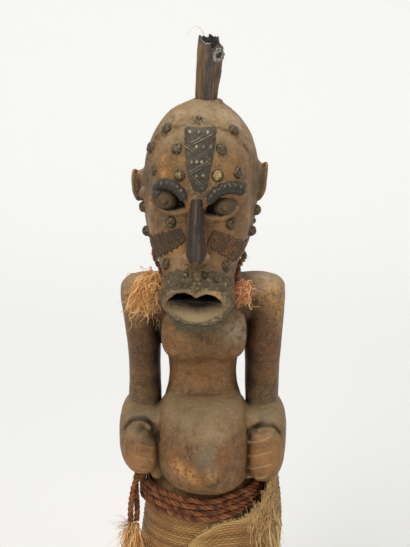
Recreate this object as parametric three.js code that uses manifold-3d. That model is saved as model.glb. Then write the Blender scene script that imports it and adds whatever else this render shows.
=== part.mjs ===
// A carved wooden power figure from Central Africa, standing on a low round base.
//
// The body is one log of wood: base, feet, legs, belly, arms, chest and head. A horn with a dark
// charge stands in a hole in the crown. Sheet metal strips and domed tacks cover the face, a cord
// with two raffia tufts passes round the neck, and a twisted rope holds a raffia cloth on the hips.
//
// Lengths are millimetres and +Z is up. The figure faces -Y, so its own left side is at +X.
// The origin is the middle of the base's underside.

import * as THREE from 'three';
import { mergeVertices } from 'three/addons/utils/BufferGeometryUtils.js';
import Module from 'manifold-3d';

const wasm = await Module();
wasm.setup();

// Driving dimensions of the whole work
const BODY_HEIGHT = 576; // from the top of the base to the crown
const BASE_HEIGHT = 32;
const BASE_RADIUS = 84;
const BASE_EDGE = 2.5; // bevel on the base's two rims
const GAP = 0.35; // clearance between pieces that touch

// Driving dimensions of what is fastened to the wood
const HORN_LENGTH = 62; // above the crown
const HORN_SEAT = 20; // depth of its hole in the crown
const HORN_FOOT_RADIUS = 10.4;
const HORN_WALL = 2.4;
const HORN_HOLLOW = 24; // depth of the open end
const CHARGE_LENGTH = 19;
const METAL = 1.0; // thickness of the sheet metal
const METAL_STANDOFF = 0.9; // the sheet spans the shallow facets of the carving
const TACK_RADIUS = 5.2;
const TACK_RISE = 0.6; // a dome's height as a share of its radius
const NAIL_RADIUS = 2.8; // the smaller nails on the lip plates
const NECK_CORD_RADIUS = 2.6;
const NECK_CORD_SLACK = 1.4; // more clearance under the cord, which spans the carving's facets
const ROPE_RADIUS = 2.9;
const TAIL_RADIUS = 3;
const ROPE_TURNS = 4;
const ROPE_PITCH = 6.2;
const ROPE_TOP = 199; // above the base, at the hips' sides
const ROPE_SLACK = 0.9; // more clearance under the rope, which spans the cloth's facets
const HIP_TILT = 0.14; // the rope and the cloth's top edge sink towards the belly
const HIP_LIFT = 7.5; // and ride this much higher beside it
const CLOTH = 2.4; // thickness of the raffia cloth, its slack folds included
const SKIRT_HEM = 42; // above the base

// The carving was drawn on a body 576 units tall, and every carved length is a share of its height
const UNIT = BODY_HEIGHT / 576;
const HEAD_PIVOT = new THREE.Vector3(-6, 0, 408); // where the head meets the neck
const HEAD_ROLL = THREE.MathUtils.degToRad(3); // the crown leans to the figure's left
const HEAD_YAW = THREE.MathUtils.degToRad(-2); // the face is turned to the figure's right

const WOOD = new THREE.MeshStandardMaterial({ color: 0x5a4330, roughness: 0.62, metalness: 0 });
const HORN = new THREE.MeshStandardMaterial({ color: 0x4a3a2c, roughness: 0.5, metalness: 0 });
const PITCH = new THREE.MeshStandardMaterial({ color: 0x16120f, roughness: 0.8, metalness: 0 });
const SHELL = new THREE.MeshStandardMaterial({ color: 0x9a9688, roughness: 0.6, metalness: 0 });
const DARK_METAL = new THREE.MeshStandardMaterial({ color: 0x33302e, roughness: 0.5, metalness: 0.6 });
const COPPER = new THREE.MeshStandardMaterial({ color: 0x4c3527, roughness: 0.55, metalness: 0.5 });
const BRASS = new THREE.MeshStandardMaterial({ color: 0x6b5230, roughness: 0.45, metalness: 0.8 });
const ROPE = new THREE.MeshStandardMaterial({ color: 0x5c3a26, roughness: 0.9, metalness: 0 });
const RAFFIA = new THREE.MeshStandardMaterial({ color: 0xb0713a, roughness: 0.9, metalness: 0 });
const CLOTH_FABRIC = new THREE.MeshStandardMaterial({ color: 0x8a6a40, roughness: 0.95, metalness: 0 });

const figure = new THREE.Group();
const headGroup = new THREE.Group();
headGroup.position.set(HEAD_PIVOT.x * UNIT, HEAD_PIVOT.y * UNIT, HEAD_PIVOT.z * UNIT + BASE_HEIGHT);
headGroup.rotation.set(0, HEAD_ROLL, HEAD_YAW);
headGroup.updateMatrix();
figure.add(headGroup);

// Geometry helpers

// A closed solid through rings that hold the same number of points, fanned shut at both ends.
function loft(rings) {
  const count = rings[0].length;
  const points = rings.flat();
  const faces = [];
  for (let r = 0; r + 1 < rings.length; r++) {
    for (let i = 0; i < count; i++) {
      const a = r * count + i;
      const b = r * count + ((i + 1) % count);
      faces.push(a, b, b + count, a, b + count, a + count);
    }
  }
  for (const [ring, flip] of [[0, true], [rings.length - 1, false]]) {
    const middle = rings[ring].reduce((sum, p) => sum.add(p), new THREE.Vector3()).divideScalar(count);
    const centre = points.push(middle) - 1;
    for (let i = 0; i < count; i++) {
      const a = ring * count + i;
      const b = ring * count + ((i + 1) % count);
      faces.push(...(flip ? [centre, b, a] : [centre, a, b]));
    }
  }
  const geometry = new THREE.BufferGeometry().setFromPoints(points);
  geometry.setIndex(faces);
  return faceOutward(geometry);
}

// Turns every face round if the solid is inside out.
function faceOutward(geometry) {
  const index = geometry.index.array;
  const at = (i) => new THREE.Vector3().fromBufferAttribute(geometry.attributes.position, i);
  let volume = 0;
  for (let i = 0; i < index.length; i += 3) {
    volume += at(index[i]).dot(at(index[i + 1]).cross(at(index[i + 2])));
  }
  if (volume < 0) {
    for (let i = 0; i < index.length; i += 3) {
      [index[i], index[i + 1]] = [index[i + 1], index[i]];
    }
  }
  return geometry;
}

// Rows between the given rows of numbers, on a Catmull-Rom curve through them.
function refine(rows, steps) {
  const out = [];
  const row = (i) => rows[Math.min(Math.max(i, 0), rows.length - 1)];
  for (let i = 0; i + 1 < rows.length; i++) {
    for (let s = 0; s < steps; s++) {
      const t = s / steps;
      out.push(row(i).map((value, k) => {
        const [before, next, after] = [row(i - 1)[k], row(i + 1)[k], row(i + 2)[k]];
        const bend = 2 * before - 5 * value + 4 * next - after;
        const twist = 3 * value - before - 3 * next + after;
        return 0.5 * (2 * value + (next - before) * t + bend * t * t + twist * t * t * t);
      }));
    }
  }
  out.push(rows.at(-1));
  return out;
}

// A ring like an ellipse with squarer corners. Its front and back halves have their own depths.
function squaredRing(count, power, place, halfWidth, front, back) {
  return Array.from({ length: count }, (_, i) => {
    const angle = (2 * Math.PI * i) / count;
    const [c, s] = [Math.cos(angle), Math.sin(angle)];
    const across = halfWidth * Math.sign(c) * Math.abs(c) ** (2 / power);
    const along = (s < 0 ? front : back) * Math.sign(s) * Math.abs(s) ** (2 / power);
    return place(across, along);
  });
}

// A form is a stack of level rings. Its rows are [height, half width, front, back, middle x, seam].
// Front and back are distances from y = 0 towards the viewer and away, and at the seam the ring is
// widest.
function upright(rows, { count, power, seam = 0, middle = 0, steps = 1 }) {
  const stack = refine(rows.map((row) => [...row.slice(0, 4), row[4] ?? middle, row[5] ?? seam]), steps);
  const rings = stack.map(([z, halfWidth, front, back, x0, y0]) => squaredRing(
    count, power,
    (x, y) => new THREE.Vector3(x0 + x, y0 + y, z).multiplyScalar(UNIT),
    halfWidth, front + y0, back - y0,
  ));
  return { geometry: loft(rings), holds: (point) => insideStack(stack, power, point) };
}

// Tells whether a point, in units, is inside an upright form.
function insideStack(stack, power, { x, y, z }) {
  if (z < stack[0][0] || z > stack.at(-1)[0]) return false;
  const k = Math.max(1, stack.findIndex((row) => row[0] >= z));
  const [low, high] = [stack[k - 1], stack[k]];
  const t = (z - low[0]) / (high[0] - low[0] || 1);
  const [, halfWidth, front, back, x0, y0] = low.map((v, i) => v + (high[i] - v) * t);
  const depth = y < y0 ? front + y0 : back - y0;
  return Math.abs((x - x0) / halfWidth) ** power + Math.abs((y - y0) / depth) ** power < 1;
}

// A limb that lies along Y, such as a forearm or a foot. Its rows are
// [y, middle x, half width, lowest z, highest z].
function level(rows, { count, power, side = 1, steps = 1 }) {
  return loft(refine(rows, steps).map(([y, middle, halfWidth, low, high]) => squaredRing(
    count, power,
    (x, z) => new THREE.Vector3(side * middle + x, y, (low + high) / 2 + z).multiplyScalar(UNIT),
    halfWidth, (high - low) / 2, (high - low) / 2,
  )));
}

function ellipsoid(centre, radii, tilt = 0, detail = 10) {
  return new THREE.SphereGeometry(1, detail, Math.round(detail * 0.6))
    .rotateX(Math.PI / 2)
    .scale(...radii.map((r) => r * UNIT))
    .rotateY(tilt)
    .translate(...centre.map((c) => c * UNIT));
}

// A tube round a curve, with flat ends.
function rod(curve, radius, steps, sides) {
  const section = new THREE.Shape(Array.from({ length: sides }, (_, i) => {
    const angle = (2 * Math.PI * i) / sides;
    return new THREE.Vector2(radius * Math.cos(angle), radius * Math.sin(angle));
  }));
  return new THREE.ExtrudeGeometry(section, { steps, extrudePath: curve, bevelEnabled: false });
}

function welded(geometry) {
  const bare = geometry.clone();
  bare.deleteAttribute('normal');
  bare.deleteAttribute('uv');
  return mergeVertices(bare, 1e-4);
}

function toSolid(geometry) {
  const mesh = welded(geometry);
  return new wasm.Manifold(new wasm.Mesh({
    numProp: 3,
    vertProperties: new Float32Array(mesh.attributes.position.array),
    triVerts: new Uint32Array(mesh.index.array),
  }));
}

function toGeometry(solid) {
  const mesh = solid.getMesh();
  const geometry = new THREE.BufferGeometry();
  geometry.setAttribute('position', new THREE.BufferAttribute(new Float32Array(mesh.vertProperties), 3));
  geometry.setIndex(new THREE.BufferAttribute(new Uint32Array(mesh.triVerts), 1));
  return geometry;
}

function united(...geometries) {
  return geometries.map(toSolid).reduce((whole, solid) => whole.add(solid));
}

function addPiece(name, geometry, material, parent = figure) {
  const piece = new THREE.Mesh(welded(geometry), material);
  piece.name = name;
  parent.add(piece);
  return piece;
}

const SIDES = [['right', -1], ['left', 1]]; // the figure's own right hand is at -X

// Head, drawn about the pivot in its own upright frame

const cap = upright([
  [-32, 30, 22, 44, 0], [0, 35, 30, 53, 0], [15, 44, 42, 62, 0], [32, 50.5, 47, 71, 0], [52, 54.8, 50, 76.5, 0],
  [72, 56.6, 52, 79.5, -0.3], [92, 57.2, 51, 80, -0.7], [110, 55.8, 50, 77.5, -1], [124, 52.3, 48, 72, -0.9],
  [136, 47.6, 43.5, 65, -1], [147, 40.8, 36.5, 55, -1.5], [156, 33.6, 26, 45, -1.9], [162, 25.8, 14.5, 36, -1.6],
  [165, 16.5, 4.5, 28.5, -0.6], [168, 14.2, 2.5, 26.5, 0.4],
], { count: 20, power: 2.15, seam: 8 });

// The face stands out from the cap as a shield, with a step along the hairline and long jaws.
const face = upright([
  [-44, 9, 78, -60, 3.5, -68], [-40, 17.5, 88, -52, 3.5, -68], [-33, 25, 95, -40, 4, -62],
  [-25, 29.5, 98, -27, 4, -54], [-14, 33, 97, -10, 4, -44], [-2, 34.5, 93, 0, 3.5, -36],
  [8, 36, 87, 2, 2.5, -30], [18, 39.5, 80, 4, 1.5, -24], [30, 45.5, 73, 4, 0.5, -18],
  [50, 50, 69, 4, 0, -12], [70, 51, 67, 4, 0, -12], [90, 50.5, 69, 4, 0, -12], [110, 49, 67, 4, 0, -12],
  [122, 46, 63.5, 4, -1, -12], [131, 39.5, 60, 4, -2, -12], [139, 31, 56, 4, -2, -12],
  [145, 22, 52, 4, -2.5, -12], [149, 17.5, 48, 4, -2.5, -12], [150, 13, 41, 4, -2.5, -12],
], { count: 20, power: 2.35 });

const nose = upright([
  [24, 8, 98, -64, 1], [28, 11, 104, -62, 1], [36, 10.5, 101, -60, 1], [50, 9.5, 92, -58, 0],
  [66, 9, 83, -56, -0.8], [82, 7.5, 74, -56, -2], [92, 5, 66, -56, -2.5],
], { count: 10, power: 2.6, seam: -64 });

// The mouth's outline seen from the front, as [x, z], clockwise from the figure's right corner. Its
// upper edge has two lobes.
const MOUTH = [
  [-24, -11.5], [-18.5, -4.5], [-10, 0], [-2.5, -0.8], [3.5, -3.4], [9.5, -0.4], [17, 0.8], [25.5, -3.5],
  [30.5, -10.5], [25.5, -18], [16, -22.8], [4, -24.4], [-8.5, -22.8], [-18.5, -18],
];
const MOUTH_CENTRE = [4, -12];
const MOUTH_LEAN = 0.3; // the lower lip stands further out than the upper

function mouthRing(depth, widthScale, heightScale, lift = 0) {
  const [x0, z0] = MOUTH_CENTRE;
  return MOUTH.map(([x, z]) => new THREE.Vector3(
    x0 + (x - x0) * widthScale,
    -depth + (z - z0) * MOUTH_LEAN,
    z0 + (z - z0) * heightScale + lift,
  ).multiplyScalar(UNIT));
}

const lips = () => loft([
  mouthRing(82, 1.13, 1.34), mouthRing(98, 1.12, 1.26), mouthRing(103.5, 1.09, 1.17), mouthRing(105, 1.04, 1.08),
]);
const mouthHollow = () => loft([
  mouthRing(130, 1, 1), mouthRing(103, 1, 1), mouthRing(95, 0.95, 0.78, 2), mouthRing(80, 0.8, 0.45, 5),
]);

const EYES = {
  right: { x: -29.3, z: 79.4, tilt: THREE.MathUtils.degToRad(15) },
  left: { x: 23.4, z: 76.4, tilt: THREE.MathUtils.degToRad(-22) },
};
const EARS = {
  right: { x: -58, z: 81, radii: [11, 12, 16] },
  left: { x: 54.5, z: 92, radii: [9.5, 12, 20] },
};

// The outer form of the head that strips and tacks lie on, tested at a point in units.
function insideHead(point) {
  return cap.holds(point) || face.holds(point) || nose.holds(point);
}

// Where a line from outside first meets the head, with the outward normal there, in units.
function meetHead(start, direction) {
  const reach = 220;
  const stride = 1.5;
  const at = (d) => start.clone().addScaledVector(direction, d);
  let far = 0;
  while (far < reach && !insideHead(at(far))) far += stride;
  let near = Math.max(0, far - stride);
  for (let i = 0; i < 16; i++) {
    const half = (near + far) / 2;
    if (insideHead(at(half))) far = half;
    else near = half;
  }
  return at(near);
}

// The normal of the plane through three nearby points where parallel lines meet the head.
function meetWithNormal(start, direction, spread = 2.5) {
  const side = new THREE.Vector3(0, 0, 1).cross(direction).normalize();
  const rise = direction.clone().cross(side).normalize();
  const hit = (a, b) => meetHead(
    start.clone().addScaledVector(side, a * spread).addScaledVector(rise, b * spread), direction,
  );
  const across = hit(1, 0).sub(hit(-1, 0));
  const up = hit(0, 1).sub(hit(0, -1));
  const normal = across.cross(up).normalize();
  if (normal.dot(direction) > 0) normal.negate();
  return { point: meetHead(start, direction), normal };
}

const IN_FRONT = -200;
const fromFront = (x, z) => meetWithNormal(new THREE.Vector3(x, IN_FRONT, z), new THREE.Vector3(0, 1, 0));

// The same from the side: turn is the angle round the head, 0 in front and 90 at the figure's left.
function fromAround(turn, z) {
  const angle = THREE.MathUtils.degToRad(turn);
  const outward = new THREE.Vector3(Math.sin(angle), -Math.cos(angle), 0);
  return meetWithNormal(outward.clone().multiplyScalar(140).setZ(z), outward.negate());
}

function carvedHead() {
  let head = united(cap.geometry, face.geometry, nose.geometry, lips()).subtract(toSolid(mouthHollow()));
  for (const [name, side] of SIDES) {
    const eye = EYES[name];
    const wing = toSolid(ellipsoid([1 + side * 7, -84, 31], [5.5, 11, 6.5], 0, 8));
    const socket = toSolid(ellipsoid([eye.x, -63, eye.z], [17.3, 9, 10], eye.tilt));
    const ball = toSolid(ellipsoid([eye.x - side * 0.6, -50, eye.z], [12.2, 14, 9.7], eye.tilt * 0.4));
    const ear = EARS[name];
    const shell = toSolid(ellipsoid([ear.x, 5, ear.z], ear.radii, side * -0.1));
    const concha = toSolid(ellipsoid(
      [ear.x + side * 9, -3, ear.z + 1], ear.radii.map((r) => r * 0.64), 0, 8,
    ));
    head = head.add(wing).subtract(socket).add(ball).add(shell.subtract(concha));
  }
  const seat = new THREE.CylinderGeometry(1, 1, HORN_SEAT * 2, HORN_COUNT)
    .rotateX(Math.PI / 2)
    .scale(HORN_FOOT_RADIUS + GAP, HORN_FOOT_RADIUS + GAP, 1)
    .rotateZ(Math.PI / 2)
    .translate(hornBase.x, hornBase.y, hornBase.z);
  return head.subtract(toSolid(seat));
}

// Horn, with its narrow end in the crown and its broken wide end up

const HORN_COUNT = 14;
const HORN_PLACE = new THREE.Vector3(0, 12, 167);
const hornBase = HORN_PLACE.clone().multiplyScalar(UNIT);

// Rows are [share of the length above the crown, radius as a share of the foot's, shift to the left].
const HORN_ROWS = [
  [0, 1, 0], [0.25, 1.08, 0.3], [0.5, 1.16, 0.9], [0.72, 1.24, 1.8], [0.85, 1.18, 1.6], [1, 1.07, 1],
];

function hornAt(share) {
  const rows = refine(HORN_ROWS, 4);
  const k = Math.max(1, rows.findIndex((row) => row[0] >= share));
  const t = (share - rows[k - 1][0]) / (rows[k][0] - rows[k - 1][0]);
  const [, ratio, shift] = rows[k - 1].map((v, i) => v + (rows[k][i] - v) * t);
  return { radius: ratio * HORN_FOOT_RADIUS, shift };
}

function hornRing(share, inset, rim = () => 0) {
  const { radius, shift } = hornAt(Math.min(share, 0.9999));
  return Array.from({ length: HORN_COUNT }, (_, i) => {
    const angle = (2 * Math.PI * i) / HORN_COUNT;
    return new THREE.Vector3(
      shift + (radius - inset) * Math.cos(angle),
      (radius - inset) * Math.sin(angle),
      share * HORN_LENGTH + rim(angle),
    ).add(hornBase);
  });
}

const HOLLOW_FLOOR = 1 - HORN_HOLLOW / HORN_LENGTH;
const CHARGE_TOP = HOLLOW_FLOOR + CHARGE_LENGTH / HORN_LENGTH;
const CHARGE_MIDDLE = (HOLLOW_FLOOR + CHARGE_TOP) / 2;

function horn() {
  const ragged = (angle) => 1.7 * Math.sin(3 * angle + 0.6) + 1.1 * Math.sin(5 * angle) - 3.5;
  const foot = hornRing(0, 0).map((p) => p.setZ(hornBase.z - HORN_SEAT + GAP));
  const outside = [0, 0.25, 0.5, 0.72, 0.88].map((share) => hornRing(share, 0));
  const inside = [CHARGE_TOP, CHARGE_MIDDLE, HOLLOW_FLOOR].map((share) => hornRing(share, HORN_WALL));
  return loft([foot, ...outside, hornRing(1, 0, ragged), hornRing(1, HORN_WALL, ragged), ...inside]);
}

function hornCharge() {
  const lumpy = (angle) => 1.6 * Math.sin(2 * angle + 1) + 1.2 * Math.sin(5 * angle);
  const inset = HORN_WALL + GAP;
  return loft([
    hornRing(HOLLOW_FLOOR, inset, () => GAP),
    hornRing(CHARGE_MIDDLE, inset),
    hornRing(CHARGE_TOP, inset, (angle) => lumpy(angle) - 2),
    hornRing(CHARGE_TOP, inset + 4, lumpy),
  ]);
}

// A ring of grey crust stuck on the horn's side, near the top.
function hornRingShell() {
  const share = 0.74;
  const [ringRadius, thickness] = [4.6, 1.8];
  const { radius, shift } = hornAt(share);
  const turn = THREE.MathUtils.degToRad(-58);
  const stand = radius + thickness + 2 * GAP;
  return new THREE.TorusGeometry(ringRadius, thickness, 6, 12)
    .scale(0.68, 1.05, 1)
    .rotateX(Math.PI / 2)
    .rotateZ(Math.PI / 2 + turn)
    .translate(
      hornBase.x + shift + stand * Math.cos(turn),
      hornBase.y + stand * Math.sin(turn),
      hornBase.z + share * HORN_LENGTH,
    );
}

// Sheet metal, cut to a band and bent over the carving

// A closed sheet that lies on the head. The rows of line are [x, z, half width] along the band's
// middle, in units, and the half width is measured square to the line.
function bentBand(line, { steps = 2, across = 3 } = {}) {
  const rows = refine(line, steps);
  const low = [];
  const high = [];
  rows.forEach(([x, z, halfWidth], i) => {
    const [before, after] = [rows[Math.max(i - 1, 0)], rows[Math.min(i + 1, rows.length - 1)]];
    const run = new THREE.Vector2(after[0] - before[0], after[1] - before[1]).normalize();
    for (let j = 0; j <= across; j++) {
      const offset = halfWidth * ((2 * j) / across - 1);
      const { point, normal } = fromFront(x - run.y * offset, z + run.x * offset);
      point.multiplyScalar(UNIT);
      low.push(point.clone().addScaledVector(normal, METAL_STANDOFF));
      high.push(point.clone().addScaledVector(normal, METAL_STANDOFF + METAL));
    }
  });
  return plate(low, high, rows.length, across + 1);
}

// Closes two matching grids of points into one thin solid.
function plate(low, high, rowCount, columnCount) {
  const total = low.length;
  const faces = [];
  const id = (r, c, upper) => r * columnCount + c + (upper ? total : 0);
  const quad = (a, b, c, d) => faces.push(a, b, c, a, c, d);
  for (let r = 0; r + 1 < rowCount; r++) {
    for (let c = 0; c + 1 < columnCount; c++) {
      quad(id(r, c, 1), id(r + 1, c, 1), id(r + 1, c + 1, 1), id(r, c + 1, 1));
      quad(id(r, c, 0), id(r, c + 1, 0), id(r + 1, c + 1, 0), id(r + 1, c, 0));
    }
    quad(id(r, 0, 0), id(r + 1, 0, 0), id(r + 1, 0, 1), id(r, 0, 1));
    quad(id(r, columnCount - 1, 0), id(r, columnCount - 1, 1), id(r + 1, columnCount - 1, 1),
      id(r + 1, columnCount - 1, 0));
  }
  for (let c = 0; c + 1 < columnCount; c++) {
    quad(id(0, c, 0), id(0, c, 1), id(0, c + 1, 1), id(0, c + 1, 0));
    const r = rowCount - 1;
    quad(id(r, c, 0), id(r, c + 1, 0), id(r, c + 1, 1), id(r, c, 1));
  }
  const geometry = new THREE.BufferGeometry().setFromPoints([...low, ...high]);
  geometry.setIndex(faces);
  return faceOutward(geometry);
}

// Each band's middle line on the face, as [x, z, half width].
const BROWS = {
  right: [[-43.5, 83, 3.2], [-38.5, 91, 4.8], [-30, 94.6, 5.4], [-20, 91, 5.2], [-13.5, 83, 3.8]],
  left: [[42.5, 89.5, 5], [36.5, 94, 5.6], [26.5, 95.5, 5.6], [16, 91, 5.2], [9.5, 82.5, 3.8]],
};
const CHEEKS = {
  right: [[-42.5, 29.5, 8.6], [-34, 36, 9], [-25, 42.5, 8.8], [-14.5, 49.5, 7.2]],
  left: [[41.5, 32, 8.6], [34, 37.5, 9], [25, 43, 9], [14, 49.5, 8]],
};
const LIPS = {
  right: [[-26.5, 3.5, 3.4], [-21, 7.5, 5], [-12, 11, 6.4], [-0.5, 11.5, 5.6]],
  left: [[32, 4.5, 3.4], [26.5, 8, 5], [18, 11, 6.4], [6.5, 11.5, 5.6]],
};

function addFaceMetal() {
  addPiece('forehead_strip', bentBand(
    [[-2.5, 146.5, 14.6], [-2, 137, 14.2], [-1.8, 124, 12.6], [-1.6, 108, 10.6], [-1.2, 92.5, 7.6]],
    { across: 4 },
  ), DARK_METAL, headGroup);
  addPiece('nose_strip', bentBand([[-2, 82, 5], [-0.8, 66, 6.4], [0, 50, 7.2], [1, 33.5, 7.6]], { across: 4 }),
    DARK_METAL, headGroup);
  for (const [name] of SIDES) {
    addPiece(`${name}_brow_strip`, bentBand(BROWS[name], { across: 4 }), DARK_METAL, headGroup);
    addPiece(`${name}_cheek_band`, bentBand(CHEEKS[name]), COPPER, headGroup);
    addPiece(`${name}_lip_plate`, bentBand(LIPS[name]), DARK_METAL, headGroup);
  }
  addPiece('chin_plate', bentBand([[-14, -34.5, 2.6], [-5, -37, 3.6], [4, -37.5, 4], [13, -37, 3.6],
    [22, -34.5, 2.6]]), DARK_METAL, headGroup);
}

// Domed tacks

function dome(radius, height) {
  const profile = [[0, 0], [radius, 0], [radius * 0.7, height * 0.75], [0, height]];
  return new THREE.LatheGeometry(profile.map(([r, z]) => new THREE.Vector2(r, z)), 7)
    .rotateX(Math.PI / 2);
}

function addTack(name, { point, normal }, radius = TACK_RADIUS, lift = METAL_STANDOFF) {
  const tack = addPiece(name, dome(radius, radius * TACK_RISE), BRASS, headGroup);
  tack.position.copy(point).multiplyScalar(UNIT).addScaledVector(normal, lift);
  tack.quaternion.setFromUnitVectors(new THREE.Vector3(0, 0, 1), normal);
}

function addTacks() {
  const front = {
    forehead_tack_1: [-23.5, 128.5], forehead_tack_2: [19, 130.5], forehead_tack_3: [-19.5, 105],
    forehead_tack_4: [16.5, 107], forehead_tack_5: [36, 109], forehead_tack_6: [-45, 104],
    cheek_tack_1: [-25.5, 59.5], cheek_tack_2: [32, 60.5],
    mouth_tack_1: [-28, 19], mouth_tack_2: [29.5, 20.5],
  };
  for (const [name, [x, z]] of Object.entries(front)) addTack(name, fromFront(x, z));
  const around = {
    temple_tack: [-72, 122], hairline_tack_1: [-56, 143], hairline_tack_2: [49, 145],
    side_tack_1: [-88, 60], side_tack_2: [-86, 36.5], side_tack_3: [86, 64], side_tack_4: [80, 43.5],
  };
  for (const [name, [turn, z]] of Object.entries(around)) addTack(name, fromAround(turn, z));
  const small = { side_nail_1: [-68, 16], side_nail_2: [89, 52] };
  for (const [name, [turn, z]] of Object.entries(small)) addTack(name, fromAround(turn, z), NAIL_RADIUS);
  addTack('crown_nail', fromFront(-5, 154), NAIL_RADIUS);
  const onPlate = { lip_nail_1: [-8, 13], lip_nail_2: [9.5, 13], lip_nail_3: [20, 10] };
  for (const [name, [x, z]] of Object.entries(onPlate)) {
    addTack(name, fromFront(x, z), NAIL_RADIUS, METAL_STANDOFF + METAL + GAP);
  }
}

// Body, drawn above the base's top

const torso = upright([
  [148, 40, 30, 38], [160, 52, 44, 50], [175, 55.5, 52, 55], [190, 55, 51, 55], [205, 52, 47, 50],
  [230, 48, 45, 42], [255, 44, 41, 34], [275, 39, 36, 31], [288, 35, 32, 30], [303, 33.5, 28, 30],
  [320, 35, 32, 32], [330, 41.5, 45, 35], [348, 45, 47, 40], [366, 46, 43, 43], [382, 44, 36, 43],
  [396, 38, 26, 38], [404, 26, 12, 28],
], { count: 16, power: 2.4 });

const belly = upright([
  [190, 24, 58, 0, 6], [195, 37, 72, 0, 4], [205, 45, 86, 0, 2], [221, 47.5, 94, 0, 0], [241, 48, 96, 0, 0],
  [259, 46.5, 91, 0, 0], [273, 43.5, 80, 0, 0], [282, 38, 66, 0, 0], [286, 28, 52, 0, 0],
], { count: 16, power: 2.4, seam: -12 });

const neck = upright([[380, 40, 26, 40], [400, 37, 30, 42], [440, 36, 36, 50]], { count: 12, power: 2.1 });

// The upper arm and then the forearm with its fist. The figure's right arm is the thinner one, and
// its left hand hangs lower.
const ARMS = {
  right: { thin: 2.4, inward: 1, droop: -7 },
  left: { thin: 0.6, inward: 0, droop: 1 },
};

function arm(name, side) {
  const { thin, inward, droop } = ARMS[name];
  const upper = upright([
    [255, 17, 13, 39, 60.5], [272, 16.8, 13, 37, 60.2 - inward], [290, 18.2 - thin, 14, 34, 60 - inward],
    [310, 18.3 - thin, 17, 29, 60.2 - inward], [332, 19.4 - thin, 20, 26, 60.6 - inward],
    [358, 20.7 - thin / 2, 23, 27, 61 - inward / 2], [380, 22, 26, 29, 61], [392, 22.5, 26, 29, 60],
    [399, 19, 21, 24, 57], [403, 12, 12, 14, 52],
  ].map(([z, halfWidth, front, back, x]) => [z, halfWidth, front, back, side * x]),
  { count: 12, power: 2.3, seam: 6 }).geometry;
  const fore = level([
    [44, 62, 9, 246, 259], [40, 62, 15, 236, 266], [28, 63, 19.5, 226, 272], [10, 64, 20.5, 221, 273],
    [-10, 64.5, 20.5, 218, 271], [-26, 64, 20, 210, 266], [-40, 62.5, 19, 202 - droop, 257],
    [-52, 60, 16, 202 - droop, 253], [-58, 57, 9, 208 - droop, 246],
  ], { count: 12, power: 2.5, side });
  return [upper, fore];
}

// Three shallow grooves part the four fingers of a hand.
function fingerGrooves(name, side) {
  const lowest = 215 - ARMS[name].droop;
  const spacing = 13;
  return [0, 1, 2].map((k) => new THREE.BoxGeometry(30, 30, 1.6)
    .rotateY(-0.08)
    .scale(UNIT, UNIT, UNIT)
    .translate(side * 58 * UNIT, -67.5 * UNIT, (lowest + k * spacing) * UNIT));
}

function leg(side) {
  const shin = upright([
    [1, 19, 10, 34, side * 36], [14, 18, 6, 32, side * 36], [26, 16.5, 5, 29, side * 35],
    [42, 18, 8, 31, side * 34.5], [60, 23, 13, 37, side * 34], [82, 25.5, 18, 38, side * 33],
    [102, 24, 23, 30, side * 32.5], [118, 23, 29, 22, side * 32], [135, 25, 31, 26, side * 30],
    [155, 26, 32, 34, side * 28], [172, 24, 30, 38, side * 26],
  ], { count: 10, power: 2.2, seam: 5 }).geometry;
  const foot = level([
    [37, 36, 8, -3, 10], [34, 36, 15, -3, 20], [20, 36.5, 19, -3, 30], [0, 37.5, 20, -3, 30],
    [-20, 38.5, 21, -3, 23], [-40, 39.5, 22, -3, 17], [-54, 39.5, 20.5, -3, 14], [-61, 39, 15, -3, 9],
  ], { count: 10, power: 2.8, side });
  return [shin, foot];
}

function shoulders() {
  const rows = [[-70, 9], [-66, 17], [-55, 22], [-30, 24], [0, 24], [30, 24], [55, 22], [66, 17], [70, 9]];
  return loft(rows.map(([x, r]) => squaredRing(
    12, 2.5, (y, z) => new THREE.Vector3(x, 4 + y * 1.15, 379 + z).multiplyScalar(UNIT), r, r, r,
  )));
}

function base() {
  const profile = [
    [0, 0], [BASE_RADIUS - BASE_EDGE, 0], [BASE_RADIUS, BASE_EDGE], [BASE_RADIUS - 1, BASE_HEIGHT - BASE_EDGE],
    [BASE_RADIUS - 1 - BASE_EDGE, BASE_HEIGHT], [0, BASE_HEIGHT],
  ];
  return new THREE.LatheGeometry(profile.map(([r, z]) => new THREE.Vector2(r, z)), 28).rotateX(Math.PI / 2);
}

function carvedFigure() {
  const limbs = SIDES.flatMap(([name, side]) => [...arm(name, side), ...leg(side)]);
  const navel = ellipsoid([2, -93, 232], [10, 8, 11], 0, 9);
  const spine = ellipsoid([0, 48, 330], [4, 9, 55], 0, 8);
  const grooves = united(...SIDES.flatMap(([name, side]) => fingerGrooves(name, side)));
  const body = united(torso.geometry, belly.geometry, neck.geometry, shoulders(), ...limbs, navel)
    .subtract(grooves)
    .subtract(toSolid(spine));
  const raised = body.translate([0, 0, BASE_HEIGHT]);
  const head = carvedHead().transform(headGroup.matrix.elements);
  return raised.add(toSolid(base())).add(head);
}

// Rope and cloth on the hips

// The hips' outline, grown by a margin, at an angle round the body: 0 at +X and 90 degrees behind.
const HIPS = { halfWidth: 56, front: 53, back: 56, power: 2.4, belly: 34 };

// What is settled there, as a share, follows the belly that presses the rope down in front.
function hipPoint(angle, margin, z, settled) {
  const [c, s] = [Math.cos(angle), Math.sin(angle)];
  const x = (HIPS.halfWidth * UNIT + margin) * Math.sign(c) * Math.abs(c) ** (2 / HIPS.power);
  const depth = (s < 0 ? HIPS.front : HIPS.back) * UNIT + margin;
  const y = depth * Math.sign(s) * Math.abs(s) ** (2 / HIPS.power);
  const pressed = Math.exp(-((x / (HIPS.belly * UNIT)) ** 2)) * Math.max(0, -s);
  return new THREE.Vector3(x, y, z + settled * (HIP_TILT * y + HIP_LIFT * (1 - pressed)));
}

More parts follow.
